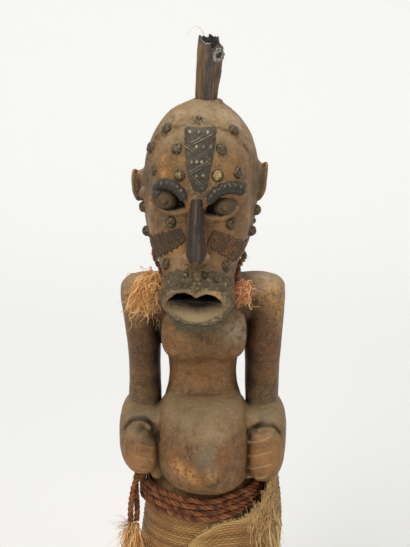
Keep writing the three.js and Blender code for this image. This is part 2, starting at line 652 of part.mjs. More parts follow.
const ropeTop = ROPE_TOP * UNIT + BASE_HEIGHT;
const ropeMargin = GAP + CLOTH + GAP + ROPE_SLACK + ROPE_RADIUS; // hips to the rope's middle
const skirtTop = ropeTop - ROPE_RADIUS - ROPE_PITCH;
const skirtHem = SKIRT_HEM * UNIT + BASE_HEIGHT;

class WaistTurns extends THREE.Curve {
  getPoint(t, target = new THREE.Vector3()) {
    const angle = Math.PI + 0.12 + t * (ROPE_TURNS * 2 * Math.PI - 0.35);
    const z = ropeTop - ROPE_RADIUS - (1 - t) * ROPE_TURNS * ROPE_PITCH;
    return target.copy(hipPoint(angle, ropeMargin, z, 1));
  }
}

// The slack of the cloth below the rope: its rows are [height as a share of the skirt, margin].
const SKIRT_ROWS = [[1, GAP], [0.82, GAP], [0.74, 2], [0.55, 6], [0.28, 10.5], [0, 14]];
const SKIRT_COUNT = 24;
const skirtHeight = (share) => skirtHem + share * (skirtTop - skirtHem);

function skirtRing([share, margin], thickness) {
  const folds = 1.8 * (1 - share);
  return Array.from({ length: SKIRT_COUNT }, (_, i) => {
    const angle = (2 * Math.PI * i) / SKIRT_COUNT;
    const wave = folds * Math.cos(6 * angle + 1);
    return hipPoint(angle, margin + wave + thickness, skirtHeight(share), share);
  });
}

function skirt() {
  const outer = SKIRT_ROWS.map((row) => skirtRing(row, CLOTH));
  const inner = SKIRT_ROWS.map((row) => skirtRing(row, 0)).reverse();
  return ringTube([...outer, ...inner]).add(toSolid(skirtFlap()));
}

// A closed band: rings that go down outside and come back up inside.
function ringTube(rings) {
  const count = rings[0].length;
  const faces = [];
  rings.forEach((_, r) => {
    const next = ((r + 1) % rings.length) * count;
    for (let i = 0; i < count; i++) {
      const j = (i + 1) % count;
      faces.push(r * count + i, r * count + j, next + j, r * count + i, next + j, next + i);
    }
  });
  const geometry = new THREE.BufferGeometry().setFromPoints(rings.flat());
  geometry.setIndex(faces);
  return toSolid(faceOutward(geometry));
}

// The cloth's outer end laps over the rope at the figure's left and joins the skirt below it. Its
// columns are [angle, share of the skirt at its top, how far it stands off as a share]: the edge
// slants up over the rope in front, and behind it dips under the rope again.
const FLAP_COLUMNS = [
  [-1.35, 0.72, 0], [-1.05, 0.82, 0.4], [-0.8, 0.92, 0.75], [-0.5, 1.03, 1], [-0.1, 1.04, 1], [0.3, 1.04, 1],
  [0.7, 1.03, 1], [0.95, 0.8, 1], [1.2, 0.78, 0],
];
const FLAP_FOOT = 0.1;

function skirtFlap() {
  const overRope = ropeMargin + ROPE_RADIUS + GAP + ROPE_SLACK;
  const lapped = [[FLAP_FOOT, 16], [0.4, 19], [0.62, overRope + 12], [0.8, overRope + 11], [0.94, overRope + 8.5],
    [1.04, overRope + 6.5]];
  const spots = FLAP_COLUMNS.flatMap(([angle, top, off]) => [1, 0.86, 0.72, 0.5, 0.25, 0].map((part) => {
    const share = FLAP_FOOT + part * (top - FLAP_FOOT);
    const close = between(SKIRT_ROWS, share) + CLOTH / 2;
    return [angle, share, close + off * (between(lapped, share) - close)];
  }));
  const grid = (thickness) => spots.map(([angle, share, margin]) => (
    hipPoint(angle, margin + thickness, skirtHeight(share), share)
  ));
  return plate(grid(0), grid(CLOTH), FLAP_COLUMNS.length, spots.length / FLAP_COLUMNS.length);
}

// The second number of rows of [number, number] at a place among their first ones.
function between(rows, place) {
  const sorted = [...rows].sort((a, b) => a[0] - b[0]);
  const next = sorted.findIndex(([first]) => first >= place);
  if (next <= 0) return (next ? sorted.at(-1) : sorted[0])[1];
  const [[a, low], [b, high]] = [sorted[next - 1], sorted[next]];
  return low + ((place - a) / (b - a)) * (high - low);
}

// The belt's two free ends hang side by side at the figure's right, down to a raffia tassel. The
// points are measured from the top of the belt's middle line where it is widest.
const beltSide = new THREE.Vector3(-HIPS.halfWidth * UNIT - ropeMargin, 0, ropeTop);
const TAILS = {
  rope_tail_front: [[8.15, -33, 6], [1.65, -36.6, 4.8], [-4.85, -37, -3], [-8.35, -37, -15], [-10.35, -37, -31],
    [-10.85, -37, -48]],
  rope_tail_back: [[3.15, -26, 7], [-2.85, -28, 4.8], [-5.35, -30, -6], [-4.85, -30.5, -20],
    [-4.35, -31, -34], [-4.85, -31, -48]],
};

function addTails() {
  for (const [name, points] of Object.entries(TAILS)) {
    const route = points.map((offset) => new THREE.Vector3(...offset).add(beltSide));
    addPiece(name, rod(new THREE.CatmullRomCurve3(route), TAIL_RADIUS, 8, 8), ROPE);
  }
}

// Soft bundles of fibre that hang from a place. Rows are [x, y, z, half width, half depth] from there.
function bundle(place, rows, count = 10) {
  return loft(rows.map(([x, y, z, halfWidth, halfDepth]) => squaredRing(
    count, 2.1, (across, along) => new THREE.Vector3(x + across, y + along, z).add(place),
    halfWidth, halfDepth, halfDepth,
  )));
}

// Cord round the neck, with a tuft under each side of the jaw

function neckCord() {
  const margin = NECK_CORD_RADIUS + GAP + NECK_CORD_SLACK;
  const around = [
    [-46, -9], [-58, -6], [-76, 0], [-98, 9], [-122, 13], [-150, 14], [180, 14],
    [150, 14], [122, 14], [96, 14], [74, 11], [58, 4], [46, -2],
  ];
  const points = around.map(([turn, z]) => {
    const { point, normal } = fromAround(turn, z);
    return point.multiplyScalar(UNIT).addScaledVector(normal.setZ(0).normalize(), margin);
  });
  return rod(new THREE.CatmullRomCurve3(points), NECK_CORD_RADIUS, 20, 8);
}

addPiece('figure', toGeometry(carvedFigure()), WOOD);
addPiece('crown_horn', horn(), HORN, headGroup);
addPiece('horn_charge', hornCharge(), PITCH, headGroup);
addPiece('horn_ring', hornRingShell(), SHELL, headGroup);
addFaceMetal();
addTacks();
addPiece('neck_cord', neckCord(), ROPE, headGroup);
addPiece('right_raffia_tuft', bundle(new THREE.Vector3(-41, -52, 3).multiplyScalar(UNIT), [
  [0, 0, 0, 4, 4], [-3, -1, -8, 8.5, 7], [-5.5, -1, -17, 13, 9], [-6.5, -1, -27, 15.5, 10],
  [-6.5, 1, -38, 14, 9], [-5.5, 2, -44, 8, 6],
]), RAFFIA, headGroup);
addPiece('left_raffia_tuft', bundle(new THREE.Vector3(48.5, -50, 0).multiplyScalar(UNIT), [
  [0, 0, 0, 4, 4], [0, -1, -5, 8, 7], [-1, -2, -12, 9.5, 8.5], [-1.5, -1, -19, 7.5, 6.5],
  [-1.5, -1, -22, 4, 4],
]), RAFFIA, headGroup);
addPiece('waist_rope', rod(new WaistTurns(), ROPE_RADIUS, 68, 8), ROPE);
addPiece('skirt', toGeometry(skirt()), CLOTH_FABRIC);
addTails();
addPiece('hip_tassel', bundle(beltSide, [
  [-7.85, -38, -49, 8, 8], [-8.85, -40, -56, 11, 9], [-9.85, -43, -80, 12, 9], [-11.85, -46, -108, 11, 8],
  [-12.85, -48, -128, 7, 6],
], 12), RAFFIA);

export default figure;
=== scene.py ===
"""Dresses the carved power figure: carved wood, horn, sheet metal, tacks, rope, raffia and cloth.

Blender's lengths are metres. The wood is carved on a grid in drawn millimetres: DRAWN is one of them.
The figure faces -Y, so its own right side is at -X.
"""

import math
from itertools import product

import bpy
import numpy as np
import openvdb
from mathutils import Matrix, Vector
from mathutils.bvhtree import BVHTree


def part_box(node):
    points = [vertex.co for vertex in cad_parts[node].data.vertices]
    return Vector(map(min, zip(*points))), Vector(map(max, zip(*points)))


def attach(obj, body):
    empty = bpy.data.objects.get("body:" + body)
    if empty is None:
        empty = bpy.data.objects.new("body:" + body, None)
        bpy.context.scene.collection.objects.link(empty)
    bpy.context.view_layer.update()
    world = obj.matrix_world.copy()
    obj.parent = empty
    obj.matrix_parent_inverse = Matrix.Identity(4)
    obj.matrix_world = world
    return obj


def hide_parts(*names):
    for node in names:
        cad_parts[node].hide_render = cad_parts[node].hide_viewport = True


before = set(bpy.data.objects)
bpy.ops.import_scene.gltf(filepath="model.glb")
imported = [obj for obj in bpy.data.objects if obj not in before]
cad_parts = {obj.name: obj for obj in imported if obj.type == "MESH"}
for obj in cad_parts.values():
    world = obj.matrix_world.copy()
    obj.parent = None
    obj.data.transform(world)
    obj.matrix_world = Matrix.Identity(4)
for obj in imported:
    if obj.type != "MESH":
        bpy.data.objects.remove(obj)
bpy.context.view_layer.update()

# Sizes and places that the whole scene shares
MM = 0.001
DRAWN_HEIGHT = 608.5  # of the carved wood, base included
FIGURE_LOW, FIGURE_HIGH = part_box("figure")
DRAWN = (FIGURE_HIGH.z - FIGURE_LOW.z) / DRAWN_HEIGHT
BASE_TOP = 32
HEAD_PIVOT = Vector((-6, 0, 408 + BASE_TOP))
HEAD_TURN = Matrix.Rotation(math.radians(3), 3, "Y") @ Matrix.Rotation(math.radians(-2), 3, "Z")
SIDES = {"right": -1, "left": 1}
BODY = "root"
UP = np.array([0, 0, 1.0])


# Camera

CAMERA_ELEVATION = math.radians(14)
CAMERA_DISTANCE = 1.5
CAMERA_TARGET = Vector((0.002, 0, 0.435))
CAMERA_LENS = 98.72


def added(name, data):
    """A new object in the scene."""
    thing = bpy.data.objects.new(name, data)
    bpy.context.scene.collection.objects.link(thing)
    return thing


def aim(thing, place, target):
    """Puts a camera or a light at a place, turned to its target."""
    thing.location = place
    thing.rotation_mode = "QUATERNION"
    thing.rotation_quaternion = (Vector(target) - Vector(place)).to_track_quat("-Z", "Y")


def make_camera():
    data = bpy.data.cameras.new("camera")
    data.lens = CAMERA_LENS
    data.sensor_width = 36
    camera = added("camera", data)
    back = Vector((0, -math.cos(CAMERA_ELEVATION), math.sin(CAMERA_ELEVATION)))
    aim(camera, CAMERA_TARGET + back * CAMERA_DISTANCE, CAMERA_TARGET)
    bpy.context.scene.camera = camera


make_camera()


# Stage: a pale floor that curves up into a backdrop, and soft lights

BACKDROP_COLOUR = (0.8, 0.8, 0.79, 1)
BACKDROP_GLOW = 0.36
WORLD_COLOUR = (0.985, 0.985, 0.98, 1)
WORLD_STRENGTH = 0.5


def backdrop_material():
    """Pale and matt. It glows a little behind the bend, so that the wall is as light as the floor."""
    recipe = Recipe("backdrop", Roughness=0.9)
    far = recipe.node("SeparateXYZ", {"Vector": recipe.place}, "Y")
    recipe.give(recipe.shader.inputs["Base Color"], BACKDROP_COLOUR)
    recipe.give(recipe.shader.inputs["Emission Color"], BACKDROP_COLOUR)
    recipe.give(recipe.shader.inputs["Emission Strength"], recipe.step(far, 0.0, 2.6, BACKDROP_GLOW))
    return recipe.material


def make_backdrop():
    """The floor is level out to the bend, which is a quarter circle up to an upright wall."""
    half_width, front, bend, radius, top = 6.0, -4.0, 1.6, 1.2, 5.0
    profile = [(front, 0.0), (bend, 0.0)]
    steps = 16
    for i in range(1, steps + 1):
        angle = math.pi / 2 * i / steps
        profile.append((bend + radius * math.sin(angle), radius * (1 - math.cos(angle))))
    profile.append((bend + radius, top))
    points = [(x, y, z) for y, z in profile for x in (-half_width, half_width)]
    faces = [(2 * i, 2 * i + 1, 2 * i + 3, 2 * i + 2) for i in range(len(profile) - 1)]
    mesh = bpy.data.meshes.new("backdrop")
    mesh.from_pydata(points, [], faces)
    mesh.shade_smooth()
    mesh.materials.append(backdrop_material())
    added("backdrop", mesh)


LIGHTS = {  # place, target, width, power in watts, colour
    "key": ((-1.1, -1.7, 2.0), (0, 0, 0.42), 1.3, 34, (1.0, 0.975, 0.935)),
    "fill": ((1.7, -1.6, 1.0), (0, 0, 0.4), 1.4, 9, (0.99, 0.99, 0.98)),
    "top": ((0.1, 0.1, 1.9), (0, 0, 0.5), 1.0, 12, (1.0, 0.99, 0.96)),
}


def make_lights():
    for name, (place, target, width, power, colour) in LIGHTS.items():
        data = bpy.data.lights.new(name, "AREA")
        data.shape = "SQUARE"
        data.size = width
        data.energy = power
        data.color = colour
        aim(added(name, data), place, target)
    world = bpy.data.worlds.new("studio")
    world.use_nodes = True
    background = world.node_tree.nodes["Background"].inputs
    background["Color"].default_value = WORLD_COLOUR
    background["Strength"].default_value = WORLD_STRENGTH
    bpy.context.scene.world = world
    bpy.context.scene.view_settings.view_transform = "Standard"


# Mesh helpers


def facing_out(points, faces):
    """Arrays of faces, turned over where they enclose their space from the wrong side."""
    volume = 0.0
    for part in faces:
        corners = np.asarray(points)[part]
        for k in range(1, corners.shape[1] - 1):
            volume += (corners[:, 0] * np.cross(corners[:, k], corners[:, k + 1])).sum()
    return [part if volume > 0 else part[:, ::-1] for part in faces]


def mesh_of(name, points, faces):
    """A mesh from points in metres and arrays of faces, one array for each number of corners."""
    mesh = bpy.data.meshes.new(name)
    corners = np.concatenate([np.asarray(part, np.int32).ravel() for part in faces])
    sizes = np.concatenate([np.full(len(part), len(part[0]), np.int32) for part in faces])
    mesh.vertices.add(len(points))
    mesh.vertices.foreach_set("co", np.asarray(points, np.float32).ravel())
    mesh.loops.add(len(corners))
    mesh.loops.foreach_set("vertex_index", corners)
    mesh.polygons.add(len(sizes))
    mesh.polygons.foreach_set("loop_start", np.cumsum(sizes) - sizes)
    mesh.update(calc_edges=True)
    mesh.validate()
    return mesh


def new_piece(name, skin, material, node=None):
    """A smooth piece of the object, shown in place of a CAD node.

    skin is points, faces and sometimes values: numbers on the points for the material, by name.
    """
    points, faces, *values = skin
    mesh = mesh_of(name, points, facing_out(points, faces))
    mesh.shade_smooth()
    for key, numbers in (values[0] if values else {}).items():
        attribute = mesh.attributes.new(key, "FLOAT", "POINT")
        attribute.data.foreach_set("value", np.asarray(numbers, np.float32).ravel())
    mesh.materials.append(material)
    piece = added(name, mesh)
    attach(piece, BODY)
    if node:
        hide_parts(node)
    return piece


def joined(*parts):
    """Coordinates as one array of points, each part spread to the same shape."""
    return np.stack(np.broadcast_arrays(*parts), -1)


def four_sided(*corners):
    """Faces from four arrays of point numbers."""
    return joined(*corners).reshape(-1, 4)


def full_turn(count):
    """Angles evenly round a circle."""
    return 2 * np.pi * np.arange(count) / count


def unit(vectors):
    return vectors / np.maximum(np.linalg.norm(vectors, axis=-1, keepdims=True), 1e-9)


def capped(rings):
    """Rings of points (..., rings, sides, 3) closed into solids: their points and two arrays of faces."""
    sides = rings.shape[-2]
    index = np.arange(rings.size // 3).reshape(rings.shape[:-1])
    ahead = np.roll(index, -1, -1)
    walls = four_sided(index[..., :-1, :], ahead[..., :-1, :], ahead[..., 1:, :], index[..., 1:, :])
    ends = np.concatenate([index[..., 0, ::-1].reshape(-1, sides), index[..., -1, :].reshape(-1, sides)])
    return rings.reshape(-1, 3), [walls, ends]


def sweep(paths, radii, sides, squash=1.0):
    """Closed tubes along paths (runs, steps, 3), with one radius or a ring of radii at each step."""
    steps = paths.shape[1]
    tangent = unit(np.gradient(paths, axis=1))
    helper = np.where(np.abs(tangent[:, :1, 2:3]) < 0.9, [[[0.0, 0.0, 1.0]]], [[[1.0, 0.0, 0.0]]])
    side = unit(np.cross(tangent[:, 0], helper[:, 0]))
    frames = [side]
    for k in range(1, steps):
        side = unit(side - (side * tangent[:, k]).sum(-1, keepdims=True) * tangent[:, k])
        frames.append(side)
    side = np.stack(frames, 1)
    other = np.cross(tangent, side)
    angle = full_turn(sides)
    reach = np.asarray(radii)
    reach = reach[..., None] if reach.ndim == 2 else reach
    ring = (np.cos(angle) * reach)[..., None] * side[:, :, None]
    ring = ring + (squash * np.sin(angle) * reach)[..., None] * other[:, :, None]
    return capped(paths[:, :, None] + ring)


def shell(outer, inner, around=False):
    """Two matching grids of points (rows, columns, 3) closed into one thin solid."""
    rows, columns = outer.shape[:2]
    front = np.arange(rows * columns).reshape(rows, columns)
    back = front + rows * columns
    last = columns if around else columns - 1
    left, back_left = front[:, :last], back[:, :last]
    right, back_right = np.roll(front, -1, 1)[:, :last], np.roll(back, -1, 1)[:, :last]
    faces = [
        four_sided(left[:-1], right[:-1], right[1:], left[1:]),
        four_sided(back_left[:-1], back_left[1:], back_right[1:], back_right[:-1]),
        four_sided(left[0], back_left[0], back_right[0], right[0]),
        four_sided(left[-1], right[-1], back_right[-1], back_left[-1]),
    ]
    if not around:
        faces.append(four_sided(front[:-1, 0], front[1:, 0], back[1:, 0], back[:-1, 0]))
        faces.append(four_sided(front[:-1, -1], back[:-1, -1], back[1:, -1], front[1:, -1]))
    return np.concatenate([outer.reshape(-1, 3), inner.reshape(-1, 3)]), [np.concatenate(faces)]


def lumps(points, size, seed):
    """Smooth random heights, mostly between -1 and 1, with lumps about size apart."""
    waves = 9
    random = np.random.default_rng(seed)
    directions = unit(random.normal(size=(waves, np.shape(points)[-1])))
    rates = directions * (2 * np.pi / size * random.uniform(0.5, 1.5, (waves, 1)))
    phases = random.uniform(0, 2 * np.pi, waves)
    return np.sin(np.asarray(points) @ rates.T + phases).sum(-1) / math.sqrt(waves)


def catmull_rom(rows, steps):
    """Points on the curve through all but the first and the last of rows, steps to a run."""
    t = np.linspace(0, 1, steps, endpoint=False)[:, None]
    runs = []
    for a, b, c, d in zip(rows, rows[1:], rows[2:], rows[3:]):
        slope, bend, twist = c - a, 2 * a - 5 * b + 4 * c - d, 3 * b - a - 3 * c + d
        runs.append(0.5 * (2 * b + slope * t + bend * t ** 2 + twist * t ** 3))
    return np.concatenate(runs)


def smooth_line(points, count):
    """count points on a smooth curve through rows of numbers, evenly spaced along it."""
    rows = np.array(points, float)
    rows = np.concatenate([[2 * rows[0] - rows[1]], rows, [2 * rows[-1] - rows[-2]]])
    line = np.concatenate([catmull_rom(rows, 24), rows[-2:-1]])
    along = line_lengths(line)
    return np.stack([np.interp(np.linspace(0, along[-1], count), along, line[:, k])
                     for k in range(rows.shape[1])], -1)


def line_lengths(line):
    """The length along a line up to each of its points."""
    return np.concatenate([[0], np.cumsum(np.linalg.norm(np.diff(line[:, :3], axis=0), axis=1))])


def line_distance(points, line):
    """How far points are from a line of straight runs."""
    best = np.full(np.shape(points)[:-1], np.inf)
    for a, b in zip(np.array(line[:-1], float), np.array(line[1:], float)):
        run = b - a
        t = np.clip((points - a) @ run / (run @ run), 0, 1)
        best = np.minimum(best, np.linalg.norm(points - a - t[..., None] * run, axis=-1))
    return best


def hill(distance, width):
    """1 at no distance, falling off like a bell."""
    return np.exp(-(distance / width) ** 2)


# Materials


def paint(red, green, blue):
    """A screen colour, 0 to 255, in Blender's linear values."""
    return tuple(((value / 255 + 0.055) / 1.055) ** 2.4 for value in (red, green, blue)) + (1,)


class Recipe:
    """A procedural material. Each method adds a node and returns what the node gives."""

    def __init__(self, name, **settings):
        self.material = bpy.data.materials.new(name)
        self.material.use_nodes = True
        self.tree = self.material.node_tree
        self.shader = self.tree.nodes["Principled BSDF"]
        self.place = self.tree.nodes.new("ShaderNodeTexCoord").outputs["Object"]
        for key, value in settings.items():
            self.shader.inputs[key.replace("_", " ")].default_value = value

    def node(self, kind, inputs, output=0, **settings):
        node = self.tree.nodes.new("ShaderNode" + kind)
        for key, value in settings.items():
            setattr(node, key, value)
        for socket, value in inputs.items():
            self.give(node.inputs[socket], value)
        return node.outputs[output]

    def give(self, socket, value):
        if isinstance(value, bpy.types.NodeSocket):
            self.tree.links.new(value, socket)
        else:
            socket.default_value = value

    def noise(self, scale, detail=4, roughness=0.6, stretch=(1, 1, 1)):
        place = self.node("Mapping", {"Vector": self.place, "Scale": stretch})
        inputs = {"Vector": place, "Scale": scale, "Detail": detail, "Roughness": roughness}
        return self.node("TexNoise", inputs)

    def value(self, name):
        return self.node("Attribute", {}, "Fac", attribute_name=name)

    def step(self, value, low, high, most=1.0):
        """0 to most as value goes from low to high."""
        inputs = {"Value": value, "From Min": low, "From Max": high, "To Max": most}
        return self.node("MapRange", inputs, interpolation_type="SMOOTHSTEP")

    def where(self, name, noise, low, high, most=1.0):
        """A value of the points, broken up by a noise."""
        return self.times(self.value(name), self.step(noise, low, high, most))

    def times(self, a, b):
        return self.node("Math", {0: a, 1: b}, operation="MULTIPLY")

    def plus(self, a, b):
        return self.node("Math", {0: a, 1: b}, operation="ADD")

    def mix(self, share, a, b, blend="MIX"):
        return self.node("Mix", {0: share, 6: a, 7: b}, 2, data_type="RGBA", blend_type=blend)

    def paint_over(self, colour, *layers):
        """Layers are [share, colour], one over the other."""
        for share, upper in layers:
            colour = self.mix(share, colour, upper)
        return colour

    def finish(self, colour, roughness, height, depth, strength):
        """Sets the colour, the roughness and a bump whose height of 1 is depth metres."""
        self.give(self.shader.inputs["Base Color"], colour)
        self.give(self.shader.inputs["Roughness"], roughness)
        bump = self.node("Bump", {"Height": height, "Distance": depth, "Strength": strength})
        self.give(self.shader.inputs["Normal"], bump)
        return self.material


def wood_material():
    """Old carved wood: brown heartwood under a dusty patina, red and ochre where it is worn. Painted shade
    darkens its creases, hollows, mouth and eye sockets; painted highlights lighten the skull's rim, the
    shoulder tops and the lower lip.
    """
    r = Recipe("carved_wood", Specular_IOR_Level=0.24)
    grain = r.noise(1, 5, stretch=(620, 620, 42))
    fine = r.noise(1500, 3)
    broad = r.noise(24, 4)
    patches = r.noise(70, 5, 0.65)
    flecks = r.noise(260, 4, 0.7)
    mottle = r.noise(150, 5, 0.72)
    runs = r.noise(1, 4, stretch=(230, 230, 60))
    scratches = r.noise(1, 3, stretch=(420, 420, 1500))
    scurf = r.mix(r.step(flecks, 0.44, 0.6), paint(54, 46, 35), paint(132, 122, 94))
    colour = r.mix(r.step(broad, 0.36, 0.64), paint(80, 55, 32), paint(116, 84, 49))
    colour = r.paint_over(
        colour,
        (r.step(patches, 0.42, 0.68, 0.45), paint(138, 104, 62)),
        (r.step(runs, 0.5, 0.68, 0.5), paint(66, 46, 30)),
        (r.step(grain, 0.5, 0.72, 0.5), paint(58, 42, 28)),
        (0.34, r.mix(r.step(mottle, 0.42, 0.58), paint(70, 50, 32), paint(158, 118, 72))),
        (r.where("red", patches, 0.25, 0.6), paint(126, 74, 36)),
        (r.where("grey", patches, 0.2, 0.55), paint(104, 94, 76)),
        (r.where("warm", patches, 0.2, 0.6), paint(152, 110, 64)),
        (r.times(r.value("dust"), r.plus(0.35, r.step(patches, 0.3, 0.7, 0.4))), paint(150, 128, 94)),
        (r.where("dust", flecks, 0.5, 0.7, 0.3), paint(156, 134, 98)),
        (r.where("edge", flecks, 0.4, 0.65, 0.6), paint(140, 104, 62)),
        # Worn ochre patches, and a painted highlight on the shoulder tops.
        (r.where("ochre", flecks, 0.4, 0.56), paint(190, 140, 76)),
        (r.step(flecks, 0.6, 0.7, 0.45), paint(170, 142, 106)),
        # Painted highlight: pale sheen on the skull's rim and the shoulder tops.
        (r.where("pale", mottle, 0.3, 0.6), paint(180, 160, 132)),
        (r.where("grime", patches, 0.3, 0.55), paint(58, 46, 36)),
        (r.times(r.value("crust"), 0.8), scurf),
        (r.step(fine, 0.54, 0.68, 0.4), paint(50, 37, 26)),
        (r.step(scratches, 0.57, 0.66, 0.55), paint(164, 138, 100)),
        # The worn lower lip, painted lighter as a highlight.
        (r.times(r.value("lip"), 0.75), paint(160, 136, 100)),
        (r.times(r.value("eye"), 0.85), paint(72, 58, 42)),
        # Painted shade and dirt in small creases.
        (r.times(r.value("crease"), 0.8), paint(44, 32, 24)),
        # Painted shade in wide hollows, where little light reaches.
        (r.times(r.value("hollow"), 0.85), paint(40, 29, 22)),
        # Painted shade: near black between the arms and body, on the fists' tops and in the wrist grooves,
        # deep in the mouth, in the eye sockets and under the chin and nose.
        (r.value("soot"), paint(24, 20, 18)),
        (r.times(r.value("line"), 0.85), paint(178, 142, 98)),
    )
    height = r.plus(r.times(grain, 0.9), r.plus(r.times(flecks, 0.7), r.times(fine, 0.35)))
    height = r.plus(height, r.times(mottle, 0.8))
    height = r.plus(height, r.times(r.value("crust"), r.times(flecks, 3.5)))
    roughness = r.plus(r.times(broad, 0.3), r.plus(r.times(r.value("dust"), 0.25), 0.36))
    return r.finish(colour, roughness, height, 0.0006, 0.75)


# Sheet metals: their dark, bright and rusty colours, and how metallic, dull and dusty they are
METALS = {
    "dark_sheet_iron": ((60, 55, 44), (148, 138, 110), (78, 64, 44), 0.2, 0.4, 0.5),
    "black_sheet_iron": ((46, 42, 36), (142, 132, 106), (56, 46, 34), 0.1, 0.4, 0.5),
    "brown_sheet_iron": ((40, 30, 21), (92, 73, 52), (54, 38, 26), 0.0, 0.5, 0.2),
    "crusty_sheet_iron": ((80, 70, 52), (152, 138, 106), (108, 92, 64), 0.0, 0.7, 0.5),
    "copper_sheet": ((56, 41, 27), (122, 92, 60), (88, 60, 36), 0.1, 0.55, 0.5),
    "rusty_sheet": ((72, 50, 32), (138, 102, 66), (116, 78, 46), 0.0, 0.6, 0.5),
}


def metal_material(name):
    """Old sheet metal: dark in its hollows, bare where it is rubbed, with rust and grey dust."""
    *colours, metallic, dull, dusty = METALS[name]
    dark, bright, rust = (paint(*colour) for colour in colours)
    r = Recipe(name, Metallic=metallic, Specular_IOR_Level=0.3)
    scratches = r.noise(1, 3, stretch=(900, 900, 260))
    blotches = r.noise(170, 5, 0.65)
    pits = r.noise(700, 3, 0.6)
    raised = r.value("raised")
    rubbed = r.step(r.plus(raised, r.times(scratches, 0.4)), 0.7, 1.15)
    colour = r.paint_over(
        dark,
        (r.step(blotches, 0.46, 0.66, 0.8), rust),
        (r.step(pits, 0.5, 0.75, dusty), paint(112, 100, 84)),
        (r.times(rubbed, r.step(blotches, 0.3, 0.55)), bright),
    )
    height = r.plus(r.times(pits, 0.8), r.times(scratches, 0.3))
    roughness = r.plus(r.times(blotches, 0.4), dull - 0.15)
    return r.finish(colour, roughness, height, 0.0004, 0.7)


def tack_material():
    """Brass gone dark, with its crown rubbed bright and painted with a highlight on some tacks."""
    r = Recipe("tack_brass", Metallic=0.45)
    blotches = r.noise(420, 4, 0.6)
    crown = r.times(r.value("raised"), r.value("tone"))
    # The dome's top is painted bright: rubbed brass and a painted highlight.
    rubbed = r.step(r.plus(crown, r.times(blotches, 0.8)), 0.8, 1.35)
    bare = r.mix(r.step(blotches, 0.38, 0.6), paint(124, 96, 54), paint(190, 156, 100))
    colour = r.paint_over(
        paint(50, 40, 28),
        (r.step(blotches, 0.42, 0.6), paint(100, 82, 55)),
        (rubbed, bare),
    )
    return r.finish(colour, r.plus(r.times(blotches, 0.35), 0.2), blotches, 0.0009, 0.8)


def horn_material():
    """Streaks along the horn, golden at one side and blue-grey in the middle, dark at the rim."""
    r = Recipe("horn", Specular_IOR_Level=0.45)
    streaks = r.noise(1, 5, stretch=(520, 520, 22))
    fibres = r.noise(1, 4, stretch=(1500, 1500, 60))
    blotches = r.noise(90, 4)
    colour = r.paint_over(
        r.mix(r.step(streaks, 0.35, 0.62), paint(46, 36, 32), paint(112, 82, 54)),
        (r.where("gold", streaks, 0.3, 0.6), paint(126, 94, 52)),
        (r.where("blue", blotches, 0.3, 0.6), paint(56, 53, 52)),
        (r.step(fibres, 0.55, 0.7, 0.5), paint(148, 122, 90)),
        (r.value("rim"), paint(42, 34, 32)),
        (r.value("pale"), paint(168, 152, 132)),
    )
    height = r.plus(streaks, r.times(fibres, 0.6))
    return r.finish(colour, r.plus(r.times(fibres, 0.3), 0.3), height, 0.0008, 0.8)


def lump_material(name, dark, light, size):
    """Crusty stuff, such as resin or shell, with a dusty bloom on its raised places."""
    r = Recipe(name, Specular_IOR_Level=0.35)
    crust = r.noise(size, 6, 0.7)
    fine = r.noise(size * 4, 4)
    colour = r.mix(r.step(crust, 0.42, 0.66), dark, light)
    height = r.plus(crust, r.times(fine, 0.4))
    return r.finish(colour, r.plus(r.times(crust, 0.4), 0.45), height, 0.0012, 0.9)


def fibre_material(name, dark, middle, light, sheen=0.2):
    """Plant fibre: each strand has its own tone, with painted shade deep in its bundle."""
    r = Recipe(name, Specular_IOR_Level=0.25, Sheen_Weight=sheen)
    streaks = r.noise(1, 3, stretch=(1400, 1400, 300))
    patches = r.noise(120, 3)
    tone = r.plus(r.times(r.value("tone"), 0.8), r.times(streaks, 0.35))
    colour = r.mix(r.step(tone, 0.25, 0.8), middle, light)
    colour = r.paint_over(
        colour,
        (r.step(patches, 0.4, 0.7, 0.5), middle),
        # Painted shade deep in the bundle.
        (r.value("deep"), dark),
    )
    return r.finish(colour, r.plus(r.times(streaks, 0.3), 0.6), streaks, 0.0004, 0.8)


def cloth_material():
    """Coarse raffia cloth: a rib for each strip of straw, gone brown in patches, with painted shade between
    the ribs.
    """
    r = Recipe("raffia_cloth", Specular_IOR_Level=0.2, Sheen_Weight=0.1)
    strips = r.noise(1, 4, stretch=(90, 90, 700))
    patches = r.noise(45, 4, 0.6)
    threads = r.noise(1, 3, stretch=(1100, 1100, 220))
    tone = r.plus(r.times(r.value("tone"), 0.8), r.times(strips, 0.25))
    colour = r.mix(r.step(tone, 0.2, 0.9), paint(120, 84, 48), paint(178, 134, 82))
    colour = r.paint_over(
        colour,
        (r.step(patches, 0.42, 0.66, 0.5), paint(112, 78, 46)),
        (r.step(threads, 0.55, 0.7, 0.35), paint(198, 160, 104)),
        (r.value("pale"), paint(208, 172, 112)),
        # Painted shade between the ribs and over the inside.
        (r.times(r.value("deep"), 0.85), paint(62, 42, 25)),
    )
    height = r.plus(strips, r.times(threads, 0.5))
    return r.finish(colour, 0.85, height, 0.0004, 0.7)


# The carving: a grid of distances to the surface of the wood, below 0 inside it

FAR = 30.0
GRID_STEP = 1.05
GRID_LOW = (-92, -118, -4)
GRID_HIGH = (92, 90, 616)
BOX_MARGIN = 4


def softened(value):
    """0 to 1 to a smooth step."""
    value = np.clip(value, 0, 1)
    return value * value * (3 - 2 * value)


def between(value, low, high):
    return softened((value - low) / (high - low))


def join(a, b, blend):
    """The union of two solids with a fillet about as wide as blend."""
    overlap = np.maximum(blend - np.abs(a - b), 0) / blend
    return np.minimum(a, b) - overlap * overlap * blend / 4


def remove(a, b, blend):
    """Solid a without solid b."""
    return -join(-a, b, blend)


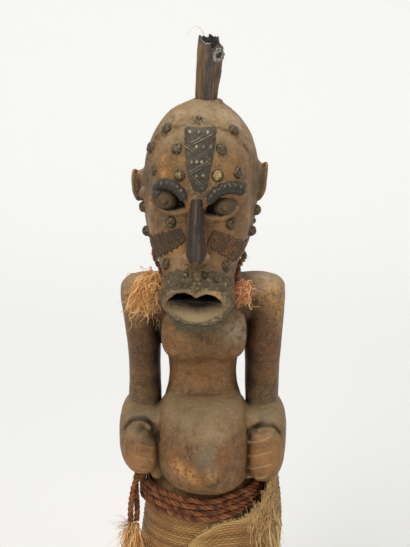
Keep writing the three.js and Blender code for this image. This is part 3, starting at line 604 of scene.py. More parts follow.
class Form:
    """A distance at coordinates x, y and z, below 0 inside a solid, and a box that holds the solid."""

    def __init__(self, distance, low, high):
        self.distance = distance
        self.low = np.array(low, float)
        self.high = np.array(high, float)


def in_head(form):
    """A form drawn in the head's own frame, where the grid has it."""
    corners = [HEAD_TURN @ Vector(corner) + HEAD_PIVOT for corner in product(*zip(form.low, form.high))]
    return Form(lambda x, y, z: form.distance(*to_head(x, y, z)), np.min(corners, 0), np.max(corners, 0))


def on_base(form):
    """A form drawn above the base's top, where the grid has it."""
    rise = [0, 0, BASE_TOP]
    return Form(lambda x, y, z: form.distance(x, y, z - BASE_TOP), form.low + rise, form.high + rise)


class Carving:
    def __init__(self):
        self.low = np.array(GRID_LOW, float)
        self.count = np.ceil((np.array(GRID_HIGH) - self.low) / GRID_STEP).astype(int) + 1
        self.field = np.full(self.count, FAR, np.float32)

    def window(self, low, high):
        """The part of the grid in a box, and the coordinates of its cells."""
        first = np.floor((low - self.low) / GRID_STEP).astype(int)
        first = np.clip(first, 0, self.count - 2)
        last = np.ceil((high - self.low) / GRID_STEP).astype(int) + 1
        last = np.clip(last, first + 2, self.count)
        axes = [self.low[k] + GRID_STEP * np.arange(first[k], last[k]) for k in range(3)]
        grids = np.meshgrid(*[axis.astype(np.float32) for axis in axes], indexing="ij", sparse=True)
        return tuple(slice(a, b) for a, b in zip(first, last)), grids

    def work(self, operation, form, blend):
        """Joins or removes a form, within its box and the reach of the blend."""
        margin = blend + BOX_MARGIN
        part, (x, y, z) = self.window(form.low - margin, form.high + margin)
        self.field[part] = operation(self.field[part], form.distance(x, y, z).astype(np.float32), blend)

    def head_work(self, operation, form, blend):
        self.work(operation, in_head(form), blend)

    def body_work(self, operation, form, blend):
        self.work(operation, on_base(form), blend)

    def blurred(self, field, sigma, stride=1):
        """A Gaussian blur of each stride-th cell, with sigma in drawn millimetres."""
        field = field[::stride, ::stride, ::stride]
        pitch = GRID_STEP * stride
        reach = int(np.ceil(2.5 * sigma / pitch))
        weights = np.exp(-0.5 * (np.arange(-reach, reach + 1) * pitch / sigma) ** 2)
        weights /= weights.sum()
        for axis in range(3):
            padded = np.pad(field, [(reach, reach) if k == axis else (0, 0) for k in range(3)], mode="edge")
            size = field.shape[axis]
            total = np.zeros_like(field)
            for i, weight in enumerate(weights):
                part = [slice(None)] * 3
                part[axis] = slice(i, i + size)
                total += weight.astype(np.float32) * padded[tuple(part)]
            field = total
        return field

    def sample(self, field, points, stride=1):
        """The values at points in drawn millimetres of a field that holds each stride-th cell."""
        place = (points - self.low) / (GRID_STEP * stride)
        corner = np.clip(np.floor(place).astype(int), 0, np.array(field.shape) - 2)
        t = np.clip(place - corner, 0, 1)
        value = np.zeros(len(points))
        for i in (0, 1):
            for j in (0, 1):
                for k in (0, 1):
                    weight = np.abs(1 - i - t[:, 0]) * np.abs(1 - j - t[:, 1]) * np.abs(1 - k - t[:, 2])
                    value += weight * field[corner[:, 0] + i, corner[:, 1] + j, corner[:, 2] + k]
        return value

    def front(self, x, z, turned=False):
        """How far forward the wood is at x and z, in the body's frame or the head's turned one."""
        depths = np.arange(-116, 60, 0.25)
        points = np.stack([np.full_like(depths, x), depths, np.full_like(depths, z)], -1)
        if turned:
            points = points @ np.array(HEAD_TURN).T + np.array(HEAD_PIVOT)
        return depths[np.argmax(self.sample(self.field, points) < 0)]

    def noise(self, scale, seed):
        """Smooth noise between about -1 and 1, with one lump in each cell of scale drawn millimetres."""
        random = np.random.default_rng(seed)
        cells = [int(np.ceil(self.count[k] * GRID_STEP / scale[k])) + 4 for k in range(3)]
        value = random.uniform(-1, 1, cells)
        for axis in range(3):
            weights = spline_weights(self.count[axis], GRID_STEP / scale[axis], cells[axis])
            value = np.moveaxis(np.tensordot(weights, value, (1, axis)), 0, axis)
        return (1.8 * value).astype(np.float32)


def spline_weights(count, stride, cells):
    """Rows of cubic B-spline weights that read a coarse line of cells at a finer stride."""
    place = np.arange(count) * stride + 1
    corner = np.floor(place).astype(int)
    t = place - corner
    rows = np.zeros((count, cells))
    parts = [(1 - t) ** 3 / 6, (3 * t ** 3 - 6 * t ** 2 + 4) / 6,
             (-3 * t ** 3 + 3 * t ** 2 + 3 * t + 1) / 6, t ** 3 / 6]
    for offset, part in enumerate(parts):
        rows[np.arange(count), np.minimum(corner + offset - 1, cells - 1)] += part
    return rows


def to_head(x, y, z):
    """Body coordinates to the head's own frame, in drawn millimetres."""
    turn = np.array(HEAD_TURN.transposed())
    dx, dy, dz = x - HEAD_PIVOT.x, y - HEAD_PIVOT.y, z - HEAD_PIVOT.z
    return tuple((turn[k, 0] * dx + turn[k, 1] * dy + turn[k, 2] * dz).astype(np.float32) for k in range(3))


# Forms

FINE = 0.5  # spacing of the rows that a profile is smoothed over


def stack(rows, power, soften=3.5, seam=0, cap=4):
    """A form through rings like ellipses with squarer corners, across u and v, one for each row.

    Rows are [height t, half width in u, front, back, middle u, seam v]: front and back are distances
    from v = 0 towards -v and +v, and at the seam the ring is widest.
    """
    full = np.array([list(row[:4]) + [row[4] if len(row) > 4 else 0, row[5] if len(row) > 5 else seam]
                     for row in rows], float)
    low, high = full[0, 0], full[-1, 0]
    heights = np.arange(low, high + FINE, FINE)
    reach = int(3 * soften / FINE)
    weights = np.exp(-0.5 * (np.arange(-reach, reach + 1) * FINE / soften) ** 2)
    weights /= weights.sum()
    table = []
    for k in range(1, 6):
        line = np.interp(heights, full[:, 0], full[:, k])
        before = 2 * line[0] - line[reach:0:-1]
        after = 2 * line[-1] - line[-2:-reach - 2:-1]
        longer = np.concatenate([before, line, after])
        table.append(np.convolve(longer, weights, "valid").astype(np.float32))

    def distance(u, v, t):
        index = np.clip(np.round((t - low) / FINE).astype(np.int32), 0, len(heights) - 1)
        half, front, back, u0, v0 = (column[index] for column in table)
        du = u - u0
        dv = v - v0
        depth = np.where(dv < 0, front + v0, back - v0)
        share = ((np.abs(du) / half) ** power + (np.abs(dv) / depth) ** power) ** (1 / power)
        wall = np.hypot(du, dv) * (1 - 1 / np.maximum(share, 0.25))
        return -join(-wall, -np.maximum(low - t, t - high), cap)

    half, front, back, u0 = full[:, 1:5].T
    return Form(distance, [(u0 - half).min(), -front.max(), low], [(u0 + half).max(), back.max(), high])


def swapped(form, *order):
    """A form whose own axes are, in this order, x, y and z of the grid by number."""
    own = [order.index(axis) for axis in range(3)]
    return Form(lambda *place: form.distance(*(place[k] for k in order)), form.low[own], form.high[own])


def lying(rows, power, side, **more):
    """A limb along Y. Its rows are [y, middle x, half width, lowest z, highest z]."""
    rings = [[y, half, -low, high, side * middle, (low + high) / 2]
             for y, middle, half, low, high in sorted(rows)]
    return swapped(stack(rings, power, **more), 0, 2, 1)


def ball(centre, radii, turn=0.0, power=2.0):
    """A rounded solid, turned about Y by turn radians."""
    c, s = math.cos(turn), math.sin(turn)

    def distance(x, y, z):
        dx, dy, dz = x - centre[0], y - centre[1], z - centre[2]
        u, w = c * dx - s * dz, s * dx + c * dz
        share = (np.abs(u / radii[0]) ** power + np.abs(dy / radii[1]) ** power
                 + np.abs(w / radii[2]) ** power) ** (1 / power)
        steep = np.sqrt((u / radii[0] ** 2) ** 2 + (dy / radii[1] ** 2) ** 2 + (w / radii[2] ** 2) ** 2)
        return share * (share - 1) / np.maximum(steep, 1e-3)

    reach = max(radii)
    return Form(distance, np.array(centre) - reach, np.array(centre) + reach)


def cord_along(points, radius):
    """A round bar along straight runs between points. A fourth number in a point is its own radius."""
    spots = [np.array(p[:3], float) for p in points]
    radii = [p[3] if len(p) > 3 else radius for p in points]

    def distance(x, y, z):
        best = None
        for a, b, ra, rb in zip(spots, spots[1:], radii, radii[1:]):
            run = b - a
            t = ((x - a[0]) * run[0] + (y - a[1]) * run[1] + (z - a[2]) * run[2]) / (run @ run)
            t = np.clip(t, 0, 1)
            away = np.sqrt((x - a[0] - t * run[0]) ** 2 + (y - a[1] - t * run[1]) ** 2
                           + (z - a[2] - t * run[2]) ** 2) - (ra + (rb - ra) * t)
            best = away if best is None else np.minimum(best, away)
        return best

    return Form(distance, np.min(spots, 0) - max(radii), np.max(spots, 0) + max(radii))


# Head, drawn about the neck's pivot

CAP_ROWS = [
    [-32, 30, 22, 44, 0], [0, 35, 30, 53, 0], [15, 44, 42, 62, 0], [32, 50.5, 47, 71, 0],
    [52, 54.8, 50, 76.5, 0], [72, 56.6, 52, 79.5, -0.3], [92, 57.2, 51, 80, -0.7],
    [110, 55.8, 50, 77.5, -1], [124, 52.3, 48, 72, -0.9], [136, 47.6, 43.5, 65, -1],
    [147, 40.8, 36.5, 55, -1.5], [156, 33.6, 26, 45, -1.9], [162, 25.8, 14.5, 36, -1.6],
    [165, 16.5, 4.5, 28.5, -0.6], [168, 14.2, 2.5, 26.5, 0.4],
]
FACE_ROWS = [
    [-44, 9, 78, -60, 3.5, -68], [-40, 17.5, 88, -52, 3.5, -68], [-33, 25, 95, -40, 4, -62],
    [-25, 29.5, 98, -27, 4, -54], [-14, 33, 97, -10, 4, -44], [-2, 34.5, 93, 0, 3.5, -36],
    [8, 36, 87, 2, 2.5, -30], [18, 39.5, 80, 4, 1.5, -24], [30, 45.5, 73, 4, 0.5, -18],
    [50, 50, 69, 4, 0, -12], [70, 51, 67, 4, 0, -12], [90, 50.5, 69, 4, 0, -12], [110, 49, 67, 4, 0, -12],
    [122, 46, 63.5, 4, -1, -12], [131, 39.5, 60, 4, -2, -12], [139, 31, 56, 4, -2, -12],
    [145, 22, 52, 4, -2.5, -12], [149, 17.5, 48, 4, -2.5, -12], [150, 13, 41, 4, -2.5, -12],
]
NOSE_ROWS = [
    [24, 8, 98, -64, 1], [28, 11, 104, -62, 1], [36, 10.5, 101, -60, 1], [50, 9.5, 92, -58, 0],
    [66, 9, 83, -56, -0.8], [82, 7.5, 74, -56, -2], [92, 5, 66, -56, -2.5],
]

# The mouth's outline seen from the front, as [x, z], from the figure's right corner
MOUTH = [
    [-24.5, -9.5], [-17, -1.6], [-12, 0], [-7, 0.2], [-1.5, -1.2], [3.5, -3.8], [8.7, -1.2], [16, 0.2],
    [23.5, -2.6], [30, -9.5], [28.5, -16], [19, -23.4], [3.5, -25], [-12, -21.8], [-21, -15.5],
]
MOUTH_CURVE = catmull_rom(np.array(MOUTH[-1:] + MOUTH + MOUTH[:2]), 6)
MOUTH_LEVEL = -12
MOUTH_MIDDLE = 3.7
MOUTH_LEAN = 0.3  # the lower lip stands further out than the upper
LIP_FRONT = 104.5

EYES = {
    "right": {"x": -30.6, "z": 79.0, "tilt": math.radians(14)},
    "left": {"x": 23.6, "z": 76.4, "tilt": math.radians(-20)},
}
EARS = {
    "right": {"x": -58, "z": 81, "radii": [11, 12, 16]},
    "left": {"x": 54.5, "z": 92, "radii": [9.5, 12, 20]},
}


def outline_distance(curve, reach, step=0.5):
    """A function of x and z that gives the distance to a closed outline, below 0 inside it."""
    low = curve.min(0) - reach
    count = np.ceil((curve.max(0) + reach - low) / step).astype(int) + 1
    gx, gz = np.meshgrid(*[low[k] + step * np.arange(count[k]) for k in range(2)], indexing="ij")
    nearest = np.full(gx.shape, 1e9)
    inside = np.zeros(gx.shape, bool)
    for a, b in zip(curve, np.roll(curve, -1, 0)):
        run = b - a
        t = np.clip(((gx - a[0]) * run[0] + (gz - a[1]) * run[1]) / (run @ run), 0, 1)
        nearest = np.minimum(nearest, np.hypot(gx - a[0] - t * run[0], gz - a[1] - t * run[1]))
        crosses = (a[1] > gz) != (b[1] > gz)
        if a[1] != b[1]:
            inside ^= crosses & (gx < run[0] * (gz - a[1]) / run[1] + a[0])
    table = np.where(inside, -nearest, nearest).astype(np.float32)

    def distance(x, z):
        i = np.clip(np.round((x - low[0]) / step).astype(np.int32), 0, count[0] - 1)
        k = np.clip(np.round((z - low[1]) / step).astype(np.int32), 0, count[1] - 1)
        return table[i, k]

    return distance


MOUTH_DISTANCE = outline_distance(MOUTH_CURVE, 26)


def lip_front(z):
    return LIP_FRONT - (z - MOUTH_LEVEL) * MOUTH_LEAN


def muzzle(x, y, z):
    """The block that the lips are cut from: it follows the mouth's outline and stands out from the jaw."""
    front = -lip_front(z) + 1.2
    grow = np.clip((y - front) * 0.16, 0, 9)
    wall = MOUTH_DISTANCE(x, z) - 3.4 - grow
    return -join(-wall, -(front - y), 4)


def mouth_hollow(x, y, z):
    """The open mouth: its roof goes straight in and its floor slopes up and back."""
    front = -lip_front(z)
    depth = np.maximum(y - front, 0)
    floor = np.where(z < -8, 0.8 * np.minimum(depth, 15) + 0.05 * depth, 0.06 * depth)
    wall = MOUTH_DISTANCE(x, z) + floor
    return -join(-wall, -(y + 72), 3)


def lip_rim():
    """A rounded edge round the mouth: thin above and full below."""
    ring = []
    for x, z in MOUTH_CURVE:
        full = float(np.clip((-8 - z) / 12, 0, 1))
        ring.append((x, -lip_front(z) + 1.4, z - 0.4 * full, 1.5 + 0.3 * full))
    return ring + ring[:1]


def almond(name, grow=0.0):
    """The outline of an eye's opening as [x, z], pointed at both corners."""
    eye = EYES[name]
    side = SIDES[name]
    points = []
    for i in range(48):
        angle = 2 * math.pi * i / 48
        across = math.cos(angle)
        rise = math.sin(angle)
        height = (9.6 if rise > 0 else 8.6) + grow
        u = (16.6 + grow) * across
        w = height * rise * abs(rise) ** 0.12 * (1 - 0.24 * across * across)
        c, s = math.cos(eye["tilt"]), math.sin(eye["tilt"])
        points.append([eye["x"] - side * 2.6 + c * u + s * w, eye["z"] - s * u + c * w])
    return np.array(points)


def face_front(x):
    """The depth of the plain face near the eyes, without the nose."""
    return 67.5 - 0.0042 * x * x - 0.02 * np.abs(x)


def eye_middle(name, side):
    """The middle of an eyeball."""
    return [EYES[name]["x"] + side * 1.2, -53.5, EYES[name]["z"] + 0.4]


def eye_opening(name):
    outline = outline_distance(almond(name), 14)

    def distance(x, y, z):
        depth = y + face_front(x)
        wall = outline(x, z) + np.clip(depth * 0.32, 0, 6)
        return -join(-wall, 11 - depth, 3)

    eye = EYES[name]
    return Form(distance, [eye["x"] - 23, -85, eye["z"] - 15], [eye["x"] + 23, -41, eye["z"] + 21])


def carve_head(wood):
    wood.head_work(join, stack(CAP_ROWS, 2.15, seam=8), 0.1)
    wood.head_work(join, stack(FACE_ROWS, 2.35, soften=2), 1.2)
    wood.head_work(join, Form(muzzle, [-27, -109, -35], [33, -59, 9]), 5)
    wood.head_work(join, stack(NOSE_ROWS, 2.6, seam=-64, cap=3), 4)
    for side in (-1, 1):
        wing = [1 + side * 7.5, -87, 30.5]
        wood.head_work(join, ball(wing, [6.2, 11, 6.2]), 2.5)
        nostril = [1 + side * 6.2, -94, 24]
        wood.head_work(remove, ball(nostril, [2.9, 5, 4.2]), 1.2)
    wood.head_work(join, cord_along(lip_rim(), 2.4), 2.6)
    wood.head_work(remove, Form(mouth_hollow, [-29, -113, -35], [35, -65, 7]), 1.2)
    for name, side in SIDES.items():
        carve_eye(wood, name, side)
        carve_ear(wood, name, side)
    carve_hairline(wood)
    wood.head_work(join, ball([0.5, 12, 163], [15, 16, 8]), 3)
    collar = [12.5, 6, 166]
    wood.head_work(join, ball(collar, [4.4, 5, 4.6]), 1.5)
    foot = HORN_PLACE - [0, 0, HORN_SEAT]
    seat = cord_along([foot, foot + [0, 0, 42]], HORN_FOOT + 0.5)
    seat.low = foot + [-9.6, -9.6, 1.4]  # the box cuts the seat's round end flat
    seat.high = foot + [9.6, 9.6, 23.6]
    wood.head_work(remove, seat, 0.4)


def carve_eye(wood, name, side):
    """A bulging eyeball with a ringed pupil in a pointed opening, a soft lower lid and a brow ridge."""
    eye = EYES[name]
    z = eye["z"]
    lid = [(a, -face_front(a) - 0.2, b, 2.1) for a, b in almond(name, 2.0) if b < z + 1.5]
    lid.sort()
    wood.head_work(join, cord_along(lid, 2.1), 4)
    brow = [(a, wood.front(a, b, turned=True) + 1.2, b) for a, b, _ in smooth_line(BROWS[name], 9)]
    wood.head_work(join, cord_along(brow, 4.2), 3)
    wood.head_work(remove, eye_opening(name), 0.9)
    centre = eye_middle(name, side)
    wood.head_work(join, ball(centre, [12.4, 15.5, 9.9], eye["tilt"] * 0.5), 0.5)
    pupil = [centre[0] + side * 0.6, -68.2, z + 0.4]
    ring = [[pupil[0] + 4.6 * math.cos(a), -67.6, pupil[2] + 4.0 * math.sin(a)]
            for a in np.linspace(0, 2 * math.pi, 25)]
    wood.head_work(remove, cord_along(ring, 0.95), 0.5)
    wood.head_work(join, ball(pupil, [2.3, 2.0, 2.1]), 1.0)


def carve_ear(wood, name, side):
    """A shell-like ear with a rim, a hollow and a small lobe in front of it."""
    ear = EARS[name]
    x, z, radii = ear["x"], ear["z"], ear["radii"]
    centre = [x, 5, z]
    wood.head_work(join, ball(centre, radii, side * -0.1), 3.5)
    hollow = [x + side * 8, -4, z + 1]
    wood.head_work(remove, ball(hollow, [r * 0.66 for r in radii]), 2)
    rim = []
    for angle in np.linspace(math.radians(-70), math.radians(200), 15):
        rim.append([x + side * (0.5 + 0.82 * radii[0] * max(0.25, math.cos(angle * 0.6 - 0.5))),
                    2 - 0.78 * radii[1] * math.cos(angle) * 0.9, z + 0.9 * radii[2] * math.sin(angle)])
    wood.head_work(join, cord_along(rim, 1.9), 2.5)
    lobe = [x - side * 1.5, -9, z - radii[2] * 0.35]
    wood.head_work(join, ball(lobe, [4, 3.6, 5.5]), 2.5)


def carve_hairline(wood):
    """A low ridge along the face's upper edge and a small studded triangle above the forehead strip."""
    wood.head_work(join, cord_along(smooth_line(HAIRLINE, 30), 1.5), 2.2)
    for a, b in zip(TRIANGLE, TRIANGLE[1:] + TRIANGLE[:1]):
        ends = [[a[0], -crown_front(a[1]) + 0.6, a[1]], [b[0], -crown_front(b[1]) + 0.6, b[1]]]
        wood.head_work(join, cord_along(ends, 1.3), 1.5)
    for x, z in STUDS:
        stud = [x, -crown_front(z) + 0.2, z]
        wood.head_work(join, ball(stud, [2, 2, 2]), 1)


HAIRLINE = [
    [-54, -6, 98], [-52.5, -13, 113], [-44.6, -15, 133.4], [-31, -25.2, 144], [-17, -31.6, 148],
    [-2, -33, 149.4], [13.6, -31.6, 147.6], [28.6, -27, 142], [43, -21.2, 125.6], [47.5, -20, 110],
]
TRIANGLE = [[-9.5, 145.5], [5, 144.5], [-5.5, 155]]
STUDS = [[-4.5, 147], [-0.5, 146.5], [-5.2, 151.5]]


def crown_front(z):
    """The depth of the skull just above the forehead."""
    return float(np.interp(z, [140, 147, 152, 156, 162], [52, 46, 33, 26, 14.5]))


# Body, drawn above the base's top

TORSO_ROWS = [
    [148, 40, 30, 38], [160, 52, 44, 50], [175, 55.5, 52, 55], [190, 55, 51, 55], [205, 52, 47, 50],
    [230, 48, 45, 42], [255, 44, 41, 34], [275, 39, 36, 31], [288, 35, 32, 30], [303, 33.5, 28, 30],
    [320, 35, 32, 32], [330, 41.5, 45, 35], [348, 45, 47, 40], [366, 46, 43, 43], [382, 44, 36, 43],
    [396, 38, 26, 38], [404, 26, 12, 28],
]
BELLY_ROWS = [
    [190, 24, 58, 0, 6], [195, 37, 72, 0, 4], [205, 45, 86, 0, 2], [221, 47.5, 94, 0, 0], [241, 48, 96, 0, 0],
    [259, 46.5, 91, 0, 0], [273, 43.5, 80, 0, 0], [282, 38, 66, 0, 0], [286, 28, 52, 0, 0],
]
NECK_ROWS = [[380, 40, 26, 40], [400, 37, 30, 42], [440, 36, 36, 50]]
SHOULDER_ROWS = [[-70, 9], [-66, 17], [-55, 22], [-30, 24], [0, 24], [30, 24], [55, 22], [66, 17], [70, 9]]
ARMS = {
    "right": {"thin": 2.4, "inward": 1, "droop": -7},
    "left": {"thin": 0.6, "inward": 0, "droop": 1},
}


def upper_arm(name, side):
    thin, inward = ARMS[name]["thin"], ARMS[name]["inward"]
    rows = [
        [255, 17, 13, 39, 60.5], [272, 16.8, 13, 37, 60.2 - inward], [290, 18.2 - thin, 14, 34, 60 - inward],
        [310, 18.3 - thin, 17, 29, 60.2 - inward], [332, 19.4 - thin, 20, 26, 60.6 - inward],
        [358, 20.7 - thin / 2, 23, 27, 61 - inward / 2], [380, 22, 26, 29, 61], [392, 22.5, 26, 29, 60],
        [399, 19, 21, 24, 57], [403, 12, 12, 14, 52],
    ]
    rings = [[z, half, front, back, side * x] for z, half, front, back, x in rows]
    return stack(rings, 2.3, seam=6, soften=2)


def forearm(name, side):
    droop = ARMS[name]["droop"]
    return lying([
        [44, 62, 9, 246, 259], [40, 62, 15, 236, 266], [28, 63, 19.5, 226, 272], [10, 64, 20.5, 221, 273],
        [-10, 64.5, 20.5, 218, 271], [-26, 64, 20, 210, 266], [-40, 62.5, 19, 202 - droop, 257],
        [-52, 60, 16, 202 - droop, 253], [-58, 57, 9, 208 - droop, 246],
    ], 2.5, side, soften=2.5)


def carve_body(wood):
    wood.body_work(join, stack(TORSO_ROWS, 2.4, soften=3), 0.1)
    wood.body_work(join, stack(BELLY_ROWS, 2.4, seam=-12, soften=4), 2.5)
    wood.body_work(join, stack(NECK_ROWS, 2.1), 6)
    shoulders = stack([[x, r * 1.15, -(379 - r), 379 + r, 4, 379] for x, r in SHOULDER_ROWS], 2.5, soften=4)
    wood.body_work(join, swapped(shoulders, 1, 2, 0), 6)
    for name, side in SIDES.items():
        wood.body_work(join, upper_arm(name, side), 3)
        wood.body_work(join, forearm(name, side), 1.6)
        filler = [side * 49, -20, 255]
        wood.body_work(join, ball(filler, [13, 27, 14.5], power=2.5), 5)
        web = [[side * 46, -44, 240], [side * 46.5, -46, 226], [side * 46, -42, 208]]
        wood.body_work(join, cord_along(web, 6.5), 3)
        carve_hand(wood, name)
        carve_leg(wood, side)
    carve_front(wood)


# Lines scratched between the fingers, as [x, z] at their inner and outer ends
FINGERS = {
    "left": [[[44.5, 243], [65, 249]], [[45, 229.5], [67, 235.5]], [[45.5, 216.7], [67, 221.8]],
             [[46, 205], [63, 209.3]]],
    "right": [[[-50, 239.5], [-66, 244]], [[-50, 227], [-68, 231]], [[-50, 215], [-67, 218]]],
}
# Grooves that part the hands from the forearms on their tops, as [x, y, z]
WRISTS = {
    "left": [[44.5, -50, 253], [52, -46, 257], [62, -41, 258.5], [70, -40, 256.5], [77, -40, 249]],
    "right": [[-43.5, -54, 247], [-46, -51, 252.5], [-50, -47, 258.5], [-56, -41, 262], [-63, -33, 262.5],
              [-71, -33, 260], [-79, -35, 252]],
}


def finger_lines(wood, name):
    """The scratched lines on a hand, along the surface of the wood."""
    lines = []
    for ends in FINGERS[name]:
        spots = smooth_line(ends, 7)
        lines.append([[x, wood.front(x, z + BASE_TOP), z] for x, z in spots])
    return lines


def carve_hand(wood, name):
    """Scratched lines part the fingers, and a groove over the wrist sets off the thumb's flat top."""
    for line in finger_lines(wood, name):
        wood.body_work(remove, cord_along(line, 0.9), 0.6)
    wrist = smooth_line(WRISTS[name], 12)
    wood.body_work(remove, cord_along(wrist, 2.0), 2.0)
    crest = [[x, y - 5.5, z - 4] for x, y, z in wrist[4:9]]
    wood.body_work(join, cord_along(crest, 2.4), 3)


def carve_front(wood):
    """Breast plates with a crisp lower edge, the navel's soft ridge, and the furrow down the back."""
    for side in (-1, 1):
        breast = [side * 19.5 + 1, -38.5, 352]
        wood.body_work(join, ball(breast, [22.5, 9.5, 26], power=2.8), 3)
        tip = [side * 29 + 1, -47, 335]
        wood.body_work(join, ball(tip, [4.6, 4, 3.2]), 3)
    navel = [[-6, -91.5, 256, 4], [-2, -94.5, 244, 5.5], [3, -96.5, 233, 6], [6, -94.5, 226, 3.5]]
    wood.body_work(join, cord_along(navel, 5), 10)
    spine = [[0, 37, 392], [0, 35, 350], [0, 32, 310], [0, 38, 270]]
    wood.body_work(remove, cord_along(spine, 4), 6)
    for side in (-1, 1):
        blade = [side * 24, 34, 366]
        wood.body_work(join, ball(blade, [19, 11, 26], power=2.4), 5)


def carve_leg(wood, side):
    shin = stack([[z, half, front, back, side * x] for z, half, front, back, x in [
        [1, 19, 10, 34, 36], [14, 18, 6, 32, 36], [26, 16.5, 5, 29, 35], [42, 18, 8, 31, 34.5],
        [60, 23, 13, 37, 34], [82, 25.5, 18, 38, 33], [102, 24, 23, 30, 32.5], [118, 23, 29, 22, 32],
        [135, 25, 31, 26, 30], [155, 26, 32, 34, 28], [172, 24, 30, 38, 26],
    ]], 2.2, seam=5, soften=4)
    foot = lying([
        [37, 36, 8, -3, 10], [34, 36, 15, -3, 20], [20, 36.5, 19, -3, 30], [0, 37.5, 20, -3, 30],
        [-20, 38.5, 21, -3, 23], [-40, 39.5, 22, -3, 17], [-54, 39.5, 20.5, -3, 14], [-61, 39, 15, -3, 9],
    ], 2.8, side, soften=2.5)
    wood.body_work(join, shin, 4)
    wood.body_work(join, foot, 3)
    for k in range(4):
        x = side * (39.5 + (k - 1.5) * 8.6)
        line = [[x, -64, 12], [x, -52, 15.5], [x - side * 0.6, -43, 17]]
        wood.body_work(remove, cord_along(line, 1.2), 1)


BASE_ROWS = [[0, 81.5], [2.5, 84], [29.5, 83], [BASE_TOP, 80.5]]


def carve_base(wood):
    form = stack([[z, r, r, r] for z, r in BASE_ROWS], 2, soften=0.8, cap=1)
    wood.work(join, form, 2)


# Tool marks, cracks and knocks

CRACKS = [
    [[-2, -46, 358], [-1, -48, 340], [1, -45, 322]], [[38, -32, 232], [40, -30, 212], [39, -33, 196]],
    [[66, 30, 392], [68, 29, 366], [67, 28, 340]], [[-10, 40, 350], [-8, 44, 376], [-11, 42, 398]],
    [[-84, -12, 20], [-60, -16, 33], [-34, -20, 33]], [[30, 78, 4], [26, 80, 20], [20, 70, 33]],
]


def weather(wood):
    """Shallow tool marks all over, finer knocks, and a few drying cracks."""
    wood.field += 0.42 * wood.noise((15, 15, 19), 11) + 0.16 * wood.noise((5.5, 5.5, 8), 12)
    for crack in CRACKS:
        spots = [[x, y, z + BASE_TOP] for x, y, z in crack]
        wood.work(remove, cord_along(spots, 0.8), 0.5)


# Wood mesh, and the numbers on it that its material reads

MOST_TRIANGLES = 190000

